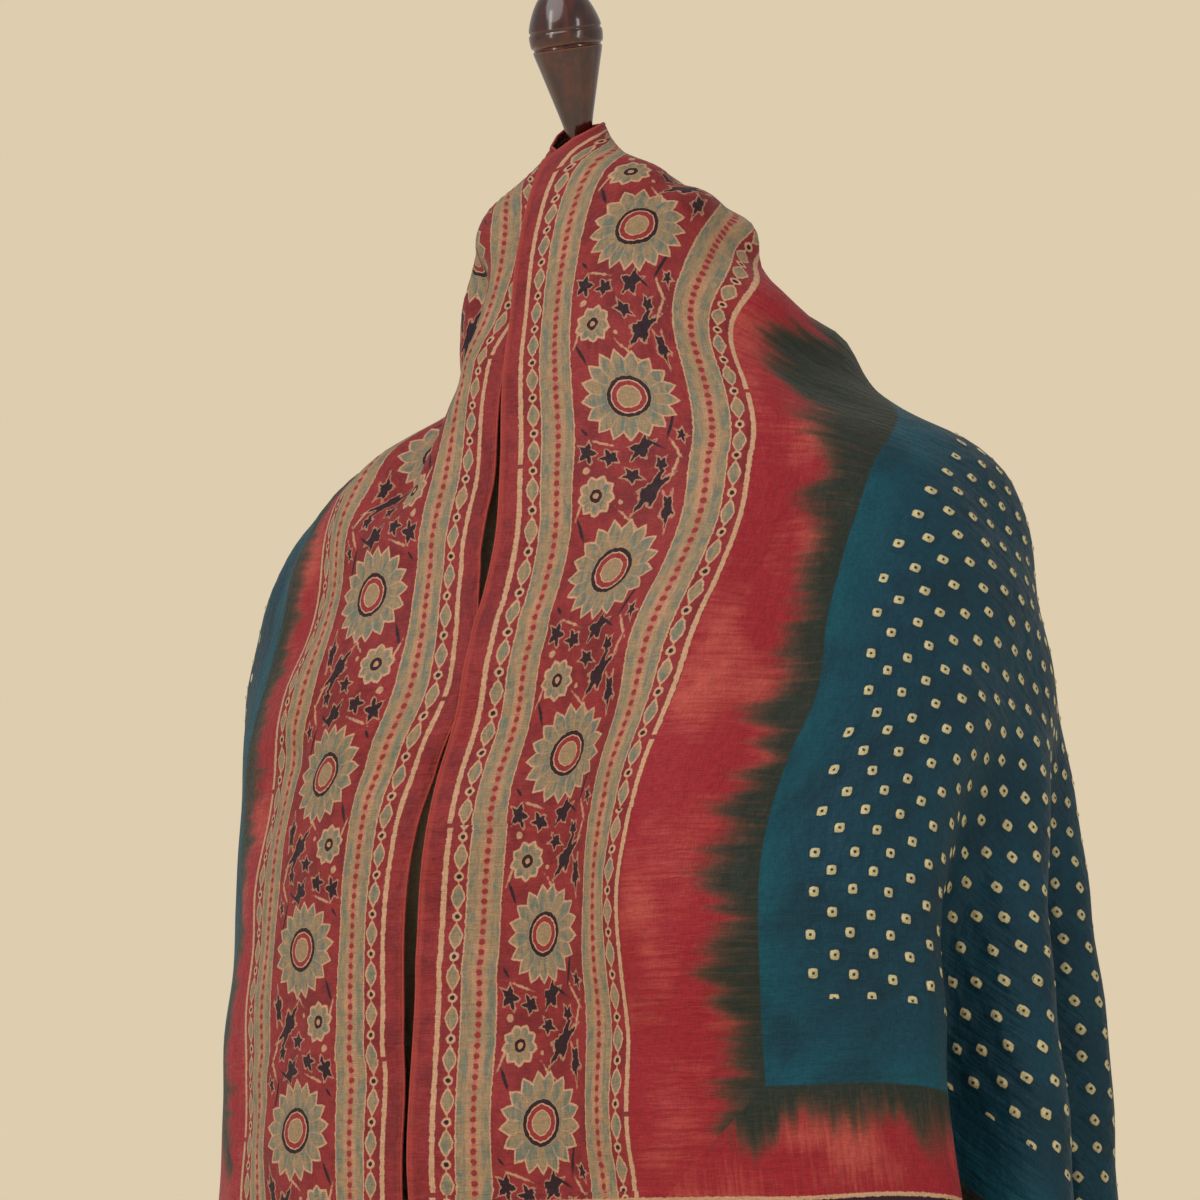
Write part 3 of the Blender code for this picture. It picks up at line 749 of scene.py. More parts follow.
def paintBorder(net, along, across, rough, blotch):
    # the printed band, from the plain margin at the edge to the last cream line
    p, band = clothPrint, bandPrint
    phase = along - net.math("SIGN", along) * p["firstRosette"]
    block = net.math("FLOOR", (phase + band["blockStart"]) / p["printBlock"])
    inner = net.above(across, p["borderMiddle"], 0.01)
    jog = net.chance(net.vector(block, inner)) - 0.5
    dv = across + jog * 2.0 - p["borderMiddle"]
    d = net.absolute(dv) + rough
    washScale = band["wash"]
    wash = net.noise(net.vector(along * washScale[0], across * washScale[1]), 1.0, 4.0, 0.66)
    wash = net.rise(wash, 0.40, 0.64)
    ground = net.over("borderRed", "borderRedDeep", blotch)
    base = net.over("beige", "blueGrey", wash * 0.85)
    # beaded stripe, by distance from its own middle
    middle = net.absolute(d - band["stripe"])
    half = band["beadPitch"] / 2
    bead = net.length(net.wrap(along + jog * 3, -half, half), d - band["stripe"])
    colour = net.layers(
        ground,
        ("cream", net.below(middle, band["stripeHalf"], 0.3)),
        (base, net.below(middle, band["stripeInner"], 0.4)),
        (net.over("pinkBeige", "beige", blotch), net.below(middle, band["stripePink"], 1.2) * 0.8),
        ("coral", net.below(middle + rough, 1.3, 1.4) * 0.55),
        ("borderRed", net.below(bead + rough * 0.4, band["beadRadius"], 0.5)),
    )
    # chain of diamonds and rings
    strip = d - band["chain"]
    half = band["linkPitch"] / 2
    step = net.absolute(net.wrap(along + jog * 8, -half, half))
    long = net.math("POWER", step / band["diamondLong"], 1.35)
    diamond = long + net.math("POWER", net.absolute(strip) / band["diamondWide"], 1.35)
    link = net.below(net.absolute(strip), 0.45, 0.4) * net.below(step, band["linkEnd"], 0.4)
    ring = net.length(half - step, strip)
    # outer cream line, broken where the block is set down again
    half = p["printBlock"] / 2
    seam = net.absolute(net.wrap(phase + band["blockStart"] + inner * 37, -half, half))
    line = net.below(net.absolute(d - band["line"]), band["lineHalf"], 0.4) * net.above(seam, 1.2, 0.5)
    colour = net.layers(
        colour,
        ("cream", net.greater(net.below(diamond, 1.0, 0.12), link * 0.8)),
        (base, net.below(diamond, 0.72, 0.15)),
        ("cream", net.below(ring, 2.5, 0.4)),
        ("plum", net.below(ring, 1.25, 0.3)),
        ("cream", line),
    )
    # the ground: vines, leaves, flowers and rosettes
    cell = net.math("FLOORED_MODULO", phase, p["rosettePitch"])
    place = net.vector(cell, dv)
    onGround = net.below(d, band["ground"], 0.5)
    vines = blobField(net, place, creamVines) + rough
    jag = net.noise(place, 0.34, 1.0)
    leaves = blobField(net, place, darkLeaves, band["leafLobes"]) + rough * 0.6 + (jag - 0.5) * 3.2
    dark = net.lesser(leaves, blobField(net, place, darkStems) + rough * 0.4)
    colour = net.layers(
        colour,
        ("cream", net.below(vines, 0.1, 0.5) * onGround * 0.85),
        ("cream", net.below(leaves + rough * 0.4, 1.0, 0.5) * onGround * 0.6),
        ("plum", net.below(dark, 0.0, 0.4) * onGround),
    )
    x, y = cell - band["flowerAlong"], dv - band["flowerAcross"]
    flower = (band["flower"], band["flowerPetals"], flowerCentre)
    colour = paintRosette(net, colour, x, y, *flower, rough, wash)
    half = p["rosettePitch"] / 2
    x = net.wrap(phase, -half, half)
    rosette = (band["rosette"], band["petals"], rosetteCentre)
    return paintRosette(net, colour, x, dv, *rosette, rough, wash)


def paintDyes(net, u, v, au, long):
    # plain red, then the ragged dark edge, then teal
    p = clothPrint
    fromSide = long - p["tealFrom"] + net.rise(u * -1, -60, 180) * p["leftEarlier"]
    fromEnd = p["tealEnd"] - au
    nearEnd = net.math("GREATER_THAN", fromSide, fromEnd)
    field = net.lesser(fromSide, fromEnd)
    edgeRun = net.choose(nearEnd, u, v)
    fingers = net.noise(net.vector(edgeRun / 7.5, field / 70), 1.0, 2.0, 0.55)
    drift = net.noise(net.vector(edgeRun / 60, field / 300, 3.0), 1.0, 1.0)
    streak = net.noise(net.vector(edgeRun / 2.2, field / 40, 9.0), 1.0, 2.0, 0.6)
    cloud = net.noise(net.vector(edgeRun / 45, field / 40, 5.0), 1.0, 2.0)
    lumps = net.noise(net.vector(edgeRun / 24, field / 90, 1.0), 1.0, 1.0)
    reachIn = field + (fingers - 0.5) * 34 + (lumps - 0.5) * 44 + (drift - 0.5) * 26
    reachIn = reachIn + (1 - net.rise(au, 170, 330)) * 26 * (1 - nearEnd)
    teal = net.layers(
        "tealBright",
        ("teal", net.rise(field + drift * 20, 4, 46)),
        ("tealDeep", net.rise(cloud, 0.42, 0.66) * 0.7),
    )
    return net.layers(
        "plainRed",
        ("coral", net.rise(cloud + streak * 0.5, 0.68, 1.05)),
        ("borderRedDeep", net.rise(streak, 0.60, 0.78) * 0.35),
        ("olive", net.rise(reachIn, -32, -14) * 0.9),
        (net.over("darkGreen", "olive", net.rise(streak, 0.5, 0.72) * 0.6), net.rise(reachIn, -24, -6)),
        (teal, net.above(field, 0.0, 1.0)),
    )


def tiedDots(net, u, v):
    # a lattice turned an eighth, each dot a little off its place
    p = clothPrint
    pitch = p["dotPitch"]
    a = (u + v) * (math.sqrt(0.5) / pitch)
    b = (v - u) * (math.sqrt(0.5) / pitch)
    i, j = net.math("FLOOR", a), net.math("FLOOR", b)
    slideX = net.math("SINE", i * 1.7 + j * 2.9) * (p["dotJitter"] / pitch)
    slideY = net.math("SINE", i * 2.3 - j * 1.3) * (p["dotJitter"] / pitch)
    x = (a - i - 0.5 - slideX) * pitch
    y = (b - j - 0.5 - slideY) * pitch
    round = net.length(x, y)
    square = net.greater(net.absolute(x + y), net.absolute(x - y)) * 0.72
    return round * 0.45 + square * 0.55


silkLook = {
    "sheen": 0.06,
    "sheenRoughness": 0.45,
    "sheenTint": (1.0, 0.93, 0.86, 1.0),
    "specular": 0.22,
    "roughness": (0.60, 0.46),           # between the threads and on them
    "threadShade": (0.72, 0.72, 0.74, 1.0),
    "wornEdge": 0.45,
    "relief": 0.75,
    "reliefDepth": 0.0034,
    "wrongSideShade": 0.45,       # how far the back of the cloth fades and is darkened towards the brown of painted shade
}


def makeSilk(name, fadeAndShade):
    p, look = clothPrint, silkLook
    made, net, shader = newMaterial(name, 0.52, {
        "Sheen Weight": look["sheen"],
        "Sheen Roughness": look["sheenRoughness"],
        "Sheen Tint": look["sheenTint"],
        "Specular IOR Level": look["specular"],
    })
    flat = net.node("ShaderNodeUVMap", uv_map="flat").outputs[0]
    parts = net.node("ShaderNodeSeparateXYZ", {0: flat}).outputs
    u, v = Wire(net, parts[0]) * 1000, Wire(net, parts[1]) * 1000
    au = net.absolute(u)
    long = p["width"] / 2 - net.absolute(v - p["width"] / 2)
    end = p["halfLength"] - au
    rough = (net.noise(flat, 420.0, 1.0) - 0.5) * 1.5
    blotch = net.rise(net.noise(flat, 55.0, 3.0, 0.6), 0.38, 0.66)
    # the border runs along both long edges and, past the end line, along the ends and in rows
    nearEnd = net.math("LESS_THAN", end, long) * net.math("LESS_THAN", end, p["borderWidth"])
    pallu = net.math("GREATER_THAN", au, p["endLine"])
    inside = net.math("GREATER_THAN", net.lesser(long, end), p["borderWidth"])
    inRows = pallu * inside
    rows = net.math("FLOORED_MODULO", au - p["rowsFrom"], p["rowPitch"]) + p["rowFirst"]
    across = net.choose(inRows, net.choose(nearEnd, long, end), rows)
    along = net.choose(net.greater(nearEnd, inRows), u, v)
    border = paintBorder(net, along, across, rough, blotch)
    ground = paintDyes(net, u, v, au, long)
    onBorder = net.greater(net.below(long, p["borderWidth"], 0.5), pallu)
    colour = net.over(ground, border, onBorder)
    # plum line with a cream line on each side, across the whole width
    line = net.absolute(au - p["endLine"]) + rough
    # tied dots
    dot = tiedDots(net, u, v)
    inField = net.above(long, p["dotsFrom"], 0.1) * net.below(au, p["dotsEnd"], 0.1)
    ring = dot + rough * 0.5
    colour = net.layers(
        colour,
        ("cream", net.below(line, 4.6, 0.5)),
        ("plum", net.below(line, 2.6, 0.5)),
        ("tealDeep", net.below(ring, 3.6, 1.4) * inField * 0.6),
        ("dot", net.below(ring, 2.45, 0.5) * inField),
        ("tealDeep", net.below(ring, 0.75, 0.5) * inField),
    )
    # thread by thread variation of the dye, and wear along the edge
    weft = net.noise(net.vector(u * 1.9, v * 0.22), 1.0, 1.0)
    threads = weft + net.noise(net.vector(u * 0.22, v * 1.9), 1.0, 1.0)
    shade = net.rise(threads, 0.7, 1.3)
    dark = net.tint(colour, look["threadShade"], 1.0, "MULTIPLY")
    colour = net.over(dark, colour, shade)
    worn = net.below(net.lesser(long, end), 2.2, 2.0) * look["wornEdge"]
    colour = net.over(colour, "coral", worn)
    # the back of the cloth is faded and darkened with the painted shade brown
    if fadeAndShade:
        colour = net.over(colour, "wrongSideShade", fadeAndShade)
    net.plug(shader.inputs["Base Color"], colour)
    # relief: thread, crushed crinkles across the cloth, and the peaks of the tied dots
    crush = net.noise(net.vector(u * 0.22, v * 0.035), 1.0, 2.0, 0.55)
    crumple = net.noise(net.vector(u * 0.07, v * 0.10, 4.0), 1.0, 2.0, 0.55)
    peaks = net.below(dot, 3.0, 6.0) * inField
    height = crush * 0.55 + crumple * 0.8 + threads * 0.12 + peaks * 0.5
    addBump(net, shader, height, look["relief"], look["reliefDepth"])
    net.plug(shader.inputs["Roughness"], net.choose(shade, *look["roughness"]))
    return made


print("stage 2: silk materials")
silk = makeSilk("printedSilk", 0.0)
silkWrongSide = makeSilk("printedSilkWrongSide", silkLook["wrongSideShade"])

print("stage 3: the cloth")
dupatta, clothSurface = makeDupatta(silk, silkWrongSide)


def newGroup(name, inputs):
    tree = bpy.data.node_groups.new(name, "GeometryNodeTree")
    tree.interface.new_socket("Geometry", in_out="INPUT", socket_type="NodeSocketGeometry")
    for label, kind in inputs:
        tree.interface.new_socket(label, in_out="INPUT", socket_type=kind)
    tree.interface.new_socket("Geometry", in_out="OUTPUT", socket_type="NodeSocketGeometry")
    net = Net(tree)
    return net, net.node("NodeGroupInput").outputs, net.node("NodeGroupOutput").inputs


def runGroup(name, base, net, values):
    # sets the inputs, makes a plain mesh of the result and removes the helper
    modifier = base.modifiers.new("build", "NODES")
    modifier.node_group = net.tree
    for item in net.tree.interface.items_tree:
        if item.in_out == "INPUT" and item.name in values:
            modifier[item.identifier] = values[item.name]
    graph = bpy.context.evaluated_depsgraph_get()
    mesh = bpy.data.meshes.new_from_object(base.evaluated_get(graph))
    base.modifiers.remove(modifier)
    bpy.data.objects.remove(base)
    mesh.name = name
    return addObject(name, mesh)


def finishGroup(net, result, geometry, material):
    smooth = net.node("GeometryNodeSetShadeSmooth", {"Geometry": geometry})
    painted = net.node("GeometryNodeSetMaterial", {"Geometry": smooth.outputs[0], "Material": material})
    net.plug(result["Geometry"], painted.outputs[0])


def placeCopies(net, points, copy, second, size, slant=None):
    # stands a copy on each point, up along its outward direction, and realizes them all
    outward = attribute(net, "outward")
    axes = {0: outward, 1: second}
    turned = net.node("FunctionNodeAxesToRotation", axes, primary_axis="Z", secondary_axis="X")
    if slant:
        lay = {0: turned.outputs[0], 1: slant}
        turned = net.node("FunctionNodeRotateRotation", lay, rotation_space="LOCAL")
    placed = net.node("GeometryNodeInstanceOnPoints", {
        "Points": points,
        "Instance": copy,
        "Rotation": turned.outputs[0],
        "Scale": size,
    })
    return net.node("GeometryNodeRealizeInstances", {"Geometry": placed.outputs[0]}).outputs[0]


def attribute(net, name):
    made = net.node("GeometryNodeInputNamedAttribute", {"Name": name}, data_type="FLOAT_VECTOR")
    return next(socket for socket in made.outputs if socket.enabled and socket.name == "Attribute")


def pointCloud(name, points, attributes, edges=()):
    mesh = bpy.data.meshes.new(name)
    mesh.from_pydata(np.asarray(points, float).tolist(), list(edges), [])
    for label, values in attributes.items():
        layer = mesh.attributes.new(label, "FLOAT_VECTOR", "POINT")
        layer.data.foreach_set("vector", np.asarray(values, np.float32).ravel())
    return addObject(name, mesh)


tiedDot = {
    "radius": 0.0033,
    "peak": 0.0011,
    "sink": 0.0005,
    "lowest": 0.85,
    "tallest": 1.15,
    "sides": 8,
    "rings": 4,
    "seed": 11,
}


def dotPlaces():
    # the same lattice and the same small slips as the print uses
    p = clothPrint
    pitch = p["dotPitch"]
    span = int(2 * p["halfLength"] / pitch)
    i, j = np.meshgrid(np.arange(-span, span), np.arange(-span, span))
    slideX = np.sin(i * 1.7 + j * 2.9) * p["dotJitter"] / pitch
    slideY = np.sin(i * 2.3 - j * 1.3) * p["dotJitter"] / pitch
    a, b = (i + 0.5 + slideX) * pitch, (j + 0.5 + slideY) * pitch
    u, v = (a - b) * math.sqrt(0.5), (a + b) * math.sqrt(0.5)
    keep = (np.abs(u) < p["dotsEnd"] - 3) & (v > p["dotsFrom"] + 3) & (v < p["width"] - p["dotsFrom"] - 3)
    return u[keep] / 1000, v[keep] / 1000


def dotGroup():
    net, given, result = newGroup("tiedDots", (
        ("Radius", "NodeSocketFloat"),
        ("Peak", "NodeSocketFloat"),
        ("Sink", "NodeSocketFloat"),
        ("Seed", "NodeSocketInt"),
        ("Cloth", "NodeSocketMaterial"),
    ))
    sphere = {"Segments": tiedDot["sides"], "Rings": tiedDot["rings"], "Radius": 1.0}
    ball = net.node("GeometryNodeMeshUVSphere", sphere)
    place = net.node("GeometryNodeInputPosition").outputs[0]
    parts = net.node("ShaderNodeSeparateXYZ", {0: place}).outputs
    x, y, z = [Wire(net, socket) for socket in parts[:3]]
    radius, peak, sink = [Wire(net, given[name]) for name in ("Radius", "Peak", "Sink")]
    top = net.math("POWER", net.greater(z, 0.0), 1.9) * (peak + sink * 0.6)
    low = net.lesser(z, 0.0) * sink * 0.5
    shaped = net.vector(x * radius, y * radius, top + low - sink * 0.6)
    dome = net.node("GeometryNodeSetPosition", {"Geometry": ball.outputs[0], "Position": shaped})
    local = net.node("GeometryNodeStoreNamedAttribute", {"Geometry": dome.outputs[0], "Name": "local"},
                     data_type="FLOAT_VECTOR", domain="POINT")
    net.plug(local.inputs["Value"], net.node("GeometryNodeInputPosition").outputs[0])
    size = net.node("FunctionNodeRandomValue", {"Seed": given["Seed"]}, data_type="FLOAT")
    net.plug(size.inputs[2], tiedDot["lowest"])
    net.plug(size.inputs[3], tiedDot["tallest"])
    alongU = attribute(net, "alongU")
    tall = net.vector(1.0, 1.0, size.outputs[1])
    real = placeCopies(net, given["Geometry"], local.outputs[0], alongU, tall)
    spot = net.node("ShaderNodeVectorMath", {0: attribute(net, "flatPlace")}, operation="ADD")
    net.plug(spot.inputs[1], attribute(net, "local"))
    unwrapped = net.node("GeometryNodeStoreNamedAttribute", {"Geometry": real, "Name": "flat"},
                         data_type="FLOAT2", domain="CORNER")
    net.plug(next(s for s in unwrapped.inputs if s.enabled and s.name == "Value"), spot.outputs[0])
    finishGroup(net, result, unwrapped.outputs[0], given["Cloth"])
    return net


def makeDots():
    u, v = dotPlaces()
    base = pointCloud("dotPlaces", onCloth(clothSurface, u, v, "points"), {
        "outward": onCloth(clothSurface, u, v, "normals"),
        "alongU": onCloth(clothSurface, u, v, "alongU"),
        "flatPlace": np.column_stack([u, v, np.zeros(len(u))]),
    })
    settings = {"Radius": tiedDot["radius"], "Peak": tiedDot["peak"], "Sink": tiedDot["sink"]}
    piece = runGroup("tiedDots", base, dotGroup(), {**settings, "Seed": tiedDot["seed"], "Cloth": silk})
    print("stage 4: tied dots", len(u))
    return piece


rolledHem = {
    "radius": 0.0011,
    "selvedge": 0.0007,
    "sides": 6,
    "stitchSpacing": 0.0045,
    "stitchRadius": 0.0003,
    "stitchLength": 0.0014,
    "stitchInset": 0.0016,
    "stitchLift": 0.0007,
    "stitchSlant": 62,       # degrees
}


def edgeRuns():
    # the four edges of the cloth, as runs of (u, v)
    us, vs = clothSurface["us"], clothSurface["vs"]
    width, half = drapeShape["width"], drapeShape["length"] / 2
    return {
        "front": (us, np.zeros(len(us))),
        "hem": (us, np.full(len(us), width)),
        "rightEnd": (np.full(len(vs), half), vs),
        "leftEnd": (np.full(len(vs), -half), vs),
    }


def ringFaces(sides, rings, start=0):
    # quads between rings of points that follow one another
    faces = []
    for ring in range(rings - 1):
        for side in range(sides):
            a = start + ring * sides + side
            b = start + ring * sides + (side + 1) % sides
            faces.append((a, b, b + sides, a + sides))
    return faces


def makeBead(name, runs, radius):
    # a closed round bead along each edge, with the cloth's own flat coordinates
    sides = rolledHem["sides"]
    points, flat, faces = [], [], []
    for run in runs:
        u, v = edgeRuns()[run]
        line = onCloth(clothSurface, u, v, "points")
        outward = onCloth(clothSurface, u, v, "normals")
        ahead = np.gradient(line, axis=0)
        ahead = ahead / np.linalg.norm(ahead, axis=1, keepdims=True)
        across = np.cross(ahead, outward)
        start = len(points)
        for step in range(len(line)):
            for side in range(sides):
                angle = 2 * math.pi * side / sides
                away = math.cos(angle) * outward[step] + math.sin(angle) * across[step]
                points.append(line[step] + radius * away)
                flat.append((u[step], min(max(v[step], 0.0006), drapeShape["width"] - 0.0006)))
        faces += ringFaces(sides, len(line), start)
        last = start + (len(line) - 1) * sides
        faces.append(tuple(reversed(range(start, start + sides))))
        faces.append(tuple(range(last, last + sides)))
    return addPiece(name, points, faces, [silk], flat)


def stitchGroup():
    net, given, result = newGroup("hemStitches", (
        ("Spacing", "NodeSocketFloat"),
        ("Thread Radius", "NodeSocketFloat"),
        ("Stitch Length", "NodeSocketFloat"),
        ("Thread", "NodeSocketMaterial"),
    ))
    curve = net.node("GeometryNodeMeshToCurve", {"Mesh": given["Geometry"]})
    spacing = {"Curve": curve.outputs[0], "Length": given["Spacing"]}
    steps = net.node("GeometryNodeCurveToPoints", spacing, mode="LENGTH")
    ball = net.node("GeometryNodeMeshUVSphere", {"Segments": 6, "Rings": 4, "Radius": given["Thread Radius"]})
    slant = (0, 0, math.radians(rolledHem["stitchSlant"]))
    long = net.vector(Wire(net, given["Stitch Length"]) / Wire(net, given["Thread Radius"]), 1.0, 1.0)
    tangent = steps.outputs["Tangent"]
    real = placeCopies(net, steps.outputs["Points"], ball.outputs[0], tangent, long, slant)
    finishGroup(net, result, real, given["Thread"])
    return net


def makeStitches(thread):
    points, outwards, edges = [], [], []
    for run in ("rightEnd", "leftEnd"):
        u, v = edgeRuns()[run]
        u = u - np.sign(u) * rolledHem["stitchInset"]
        outward = onCloth(clothSurface, u, v, "normals")
        start = len(points)
        points.extend(onCloth(clothSurface, u, v, "points") + outward * rolledHem["stitchLift"])
        outwards.extend(outward)
        edges.extend((start + step, start + step + 1) for step in range(len(u) - 1))
    base = pointCloud("hemLine", points, {"outward": outwards}, edges)
    return runGroup("hemStitches", base, stitchGroup(), {
        "Spacing": rolledHem["stitchSpacing"],
        "Thread Radius": rolledHem["stitchRadius"],
        "Stitch Length": rolledHem["stitchLength"],
        "Thread": thread,
    })


def makeThread():
    made, net, shader = newMaterial("hemThread", 0.6, {"Sheen Weight": 0.3})
    place = net.node("ShaderNodeTexCoord").outputs["Object"]
    twist = net.noise(place, 900.0, 1.0)
    net.plug(shader.inputs["Base Color"], net.over(dye(150, 46, 48), dye(196, 92, 80), twist))
    addBump(net, shader, twist, 0.3, 0.0002)
    return made


tiedDots3d = makeDots()
selvedge = makeBead("selvedge", ("front", "hem"), rolledHem["selvedge"])
hem = makeBead("rolledHem", ("rightEnd", "leftEnd"), rolledHem["radius"])
stitches = makeStitches(makeThread())
print("stage 5: hems and stitches")


standShape = {
    "lean": math.radians(17),
    "capCentreY": -0.060,
    "capDrop": 0.056,
    "capThickness": 0.012,
    "sides": 96,
    "sharpEdge": 50,         # degrees
}

# distance along the finial's axis above the cap, radius
finialProfile = (
    (0.000, 0.0090), (0.003, 0.0090), (0.005, 0.0060), (0.040, 0.0055),
    (0.052, 0.0058), (0.062, 0.0078), (0.072, 0.0104), (0.082, 0.0131),
    (0.092, 0.0158), (0.0990, 0.0177), (0.1000, 0.0179), (0.1006, 0.0173),
    (0.1014, 0.0173), (0.1020, 0.0183), (0.1040, 0.0188), (0.1065, 0.0190),
    (0.1085, 0.0189), (0.1092, 0.0182), (0.1100, 0.0182), (0.1106, 0.0187),
    (0.1140, 0.0180), (0.1180, 0.0166), (0.1220, 0.0148), (0.1260, 0.0124),
    (0.1290, 0.0096), (0.1310, 0.0070), (0.1325, 0.0036), (0.1330, 0.0000),
)
capProfile = (
    (-0.0120, 0.0000), (-0.0120, 0.0365), (-0.0114, 0.0384), (-0.0098, 0.0396),
    (-0.0080, 0.0400), (-0.0064, 0.0394), (-0.0052, 0.0395), (-0.0030, 0.0400),
    (-0.0012, 0.0393), (-0.0002, 0.0376), (0.0000, 0.0355), (0.0000, 0.0000),
)
postProfile = (
    (0.0283, 0.0000), (0.0283, 0.0250), (0.0340, 0.0262), (0.0400, 0.0262),
    (0.0440, 0.0235), (0.0470, 0.0200), (0.0520, 0.0186), (0.0600, 0.0172),
    (0.0700, 0.0170), (0.3000, 0.0170), (0.4200, 0.0170), (0.4240, 0.0196),
    (0.4280, 0.0206), (0.4380, 0.0206), (0.4420, 0.0196), (0.4460, 0.0170),
    (0.5600, 0.0168), (0.7400, 0.0168), (0.7440, 0.0230), (0.7597, 0.0240),
    (0.7597, 0.0000),
)
baseProfile = (
    (0.0000, 0.0000), (0.0000, 0.1840), (0.0012, 0.1880), (0.0040, 0.1898),
    (0.0080, 0.1900), (0.0110, 0.1886), (0.0130, 0.1860), (0.0144, 0.1820),
    (0.0170, 0.1780), (0.0200, 0.1730), (0.0222, 0.1650), (0.0236, 0.1500),
    (0.0250, 0.1200), (0.0262, 0.0800), (0.0272, 0.0500), (0.0280, 0.0400),
    (0.0280, 0.0000),
)


def softProfile(rows, steps):
    # adds points between rows so that long curves stay round and short steps stay crisp
    rows = np.array(rows)
    run = np.concatenate([[0], np.cumsum(np.hypot(*np.diff(rows, axis=0).T))])
    table = np.column_stack([run, rows])
    places = np.unique(np.concatenate([run, np.linspace(0, run[-1], steps)]))
    return readTable(places, table)


def makeTurned(name, rows, steps, material, lean=0.0, foot=(0.0, 0.0, 0.0)):
    sides = standShape["sides"]
    profile = softProfile(rows, steps)[1:-1]
    angles = 2 * math.pi * np.arange(sides) / sides
    rings = [np.column_stack([r * np.cos(angles), r * np.sin(angles), np.full(sides, h)]) for h, r in profile]
    points = np.concatenate(rings + [[[0, 0, rows[0][0]]], [[0, 0, rows[-1][0]]]])
    count = len(profile)
    faces = ringFaces(sides, count)
    bottom, top = count * sides, count * sides + 1
    for side in range(sides):
        after = (side + 1) % sides
        faces.append((bottom, after, side))
        faces.append((top, (count - 1) * sides + side, (count - 1) * sides + after))
    y = points[:, 1] * math.cos(lean) - points[:, 2] * math.sin(lean)
    z = points[:, 1] * math.sin(lean) + points[:, 2] * math.cos(lean)
    placed = np.column_stack([points[:, 0], y, z]) + foot
    return addPiece(name, placed, faces, [material], sharp=standShape["sharpEdge"])


woodLooks = {
    "darkTurnedWood": {
        "dark": dye(40, 12, 9),
        "light": dye(86, 26, 16),
        "worn": dye(150, 74, 40),
        "roughness": 0.24,
        "coat": 0.9,
    },
    "plainStandWood": {
        "dark": dye(66, 36, 22),
        "light": dye(112, 66, 40),
        "worn": dye(150, 100, 64),
        "roughness": 0.42,
        "coat": 0.25,
    },
}


def makeWood(name):
    look = woodLooks[name]
    made, net, shader = newMaterial(name, look["roughness"], {
        "Coat Weight": look["coat"],
        "Coat Roughness": 0.06,
        "Specular IOR Level": 0.5,
    })
    place = net.node("ShaderNodeTexCoord").outputs["Object"]
    long = net.node("ShaderNodeMapping", {"Vector": place})
    long.inputs["Rotation"].default_value = (-standShape["lean"], 0, 0)
    long.inputs["Scale"].default_value = (1.0, 1.0, 0.09)
    grain = net.noise(long.outputs[0], 260.0, 3.0, 0.6)
    figure = net.noise(long.outputs[0], 60.0, 2.0, 0.5)
    pores = net.rise(net.noise(long.outputs[0], 900.0, 1.0), 0.60, 0.72)
    # the polish is rubbed thin on the crests
    crest = net.node("ShaderNodeNewGeometry").outputs["Pointiness"]
    colour = net.layers(
        look["dark"],
        (look["light"], net.rise(figure * 0.6 + grain * 0.5, 0.42, 0.72)),
        (look["dark"], pores * 0.6),
        (look["worn"], net.rise(crest, 0.515, 0.56) * 0.5),
    )
    net.plug(shader.inputs["Base Color"], colour)
    net.plug(shader.inputs["Roughness"], net.rise(grain, 0.2, 0.9) * 0.12 + (look["roughness"] - 0.05))
    addBump(net, shader, grain + pores * 0.5, 0.08, 0.0006)
    return made


darkWood = makeWood("darkTurnedWood")
standWood = makeWood("plainStandWood")
lean = standShape["lean"]
neckTop = drapeShape["neckTop"]
capPlace = np.array([0, standShape["capCentreY"], neckTop - standShape["capDrop"]])
finialFoot = capPlace + 0.0003 * np.array([0, -math.sin(lean), math.cos(lean)])
finial = makeTurned("turnedFinial", finialProfile, 90, darkWood, lean, finialFoot)
neckCap = makeTurned("neckCapDisc", capProfile, 40, darkWood, lean, capPlace)
post = makeTurned("turnedPost", postProfile, 60, standWood)
base = makeTurned("turnedBase", baseProfile, 60, standWood)
print("stage 6: turned wood")


# the padded form under the cloth: drop, half width, front y, back y, squareness
torsoTable = (
    (0.092, 0.036, -0.096, -0.024, 2.0),
    (0.120, 0.040, -0.097, 0.000, 2.0),
    (0.145, 0.066, -0.098, 0.030, 2.0),
    (0.165, 0.106, -0.100, 0.045, 2.1),
    (0.190, 0.146, -0.104, 0.058, 2.2),
    (0.230, 0.170, -0.112, 0.074, 2.3),
    (0.290, 0.176, -0.132, 0.086, 2.4),
    (0.350, 0.168, -0.140, 0.084, 2.3),
    (0.420, 0.146, -0.124, 0.070, 2.2),
    (0.480, 0.130, -0.094, 0.058, 2.2),
    (0.560, 0.138, -0.100, 0.054, 2.2),
    (0.640, 0.150, -0.108, 0.052, 2.2),
    (0.700, 0.150, -0.106, 0.046, 2.2),
)
torsoShape = {"rings": 90, "sides": 144, "seamWidth": 0.0016, "seamDepth": 0.0012}
torsoSeams = (-90, -58, -122, 0, 180, 62, 90, 118)     # degrees, with the middle of the front at -90


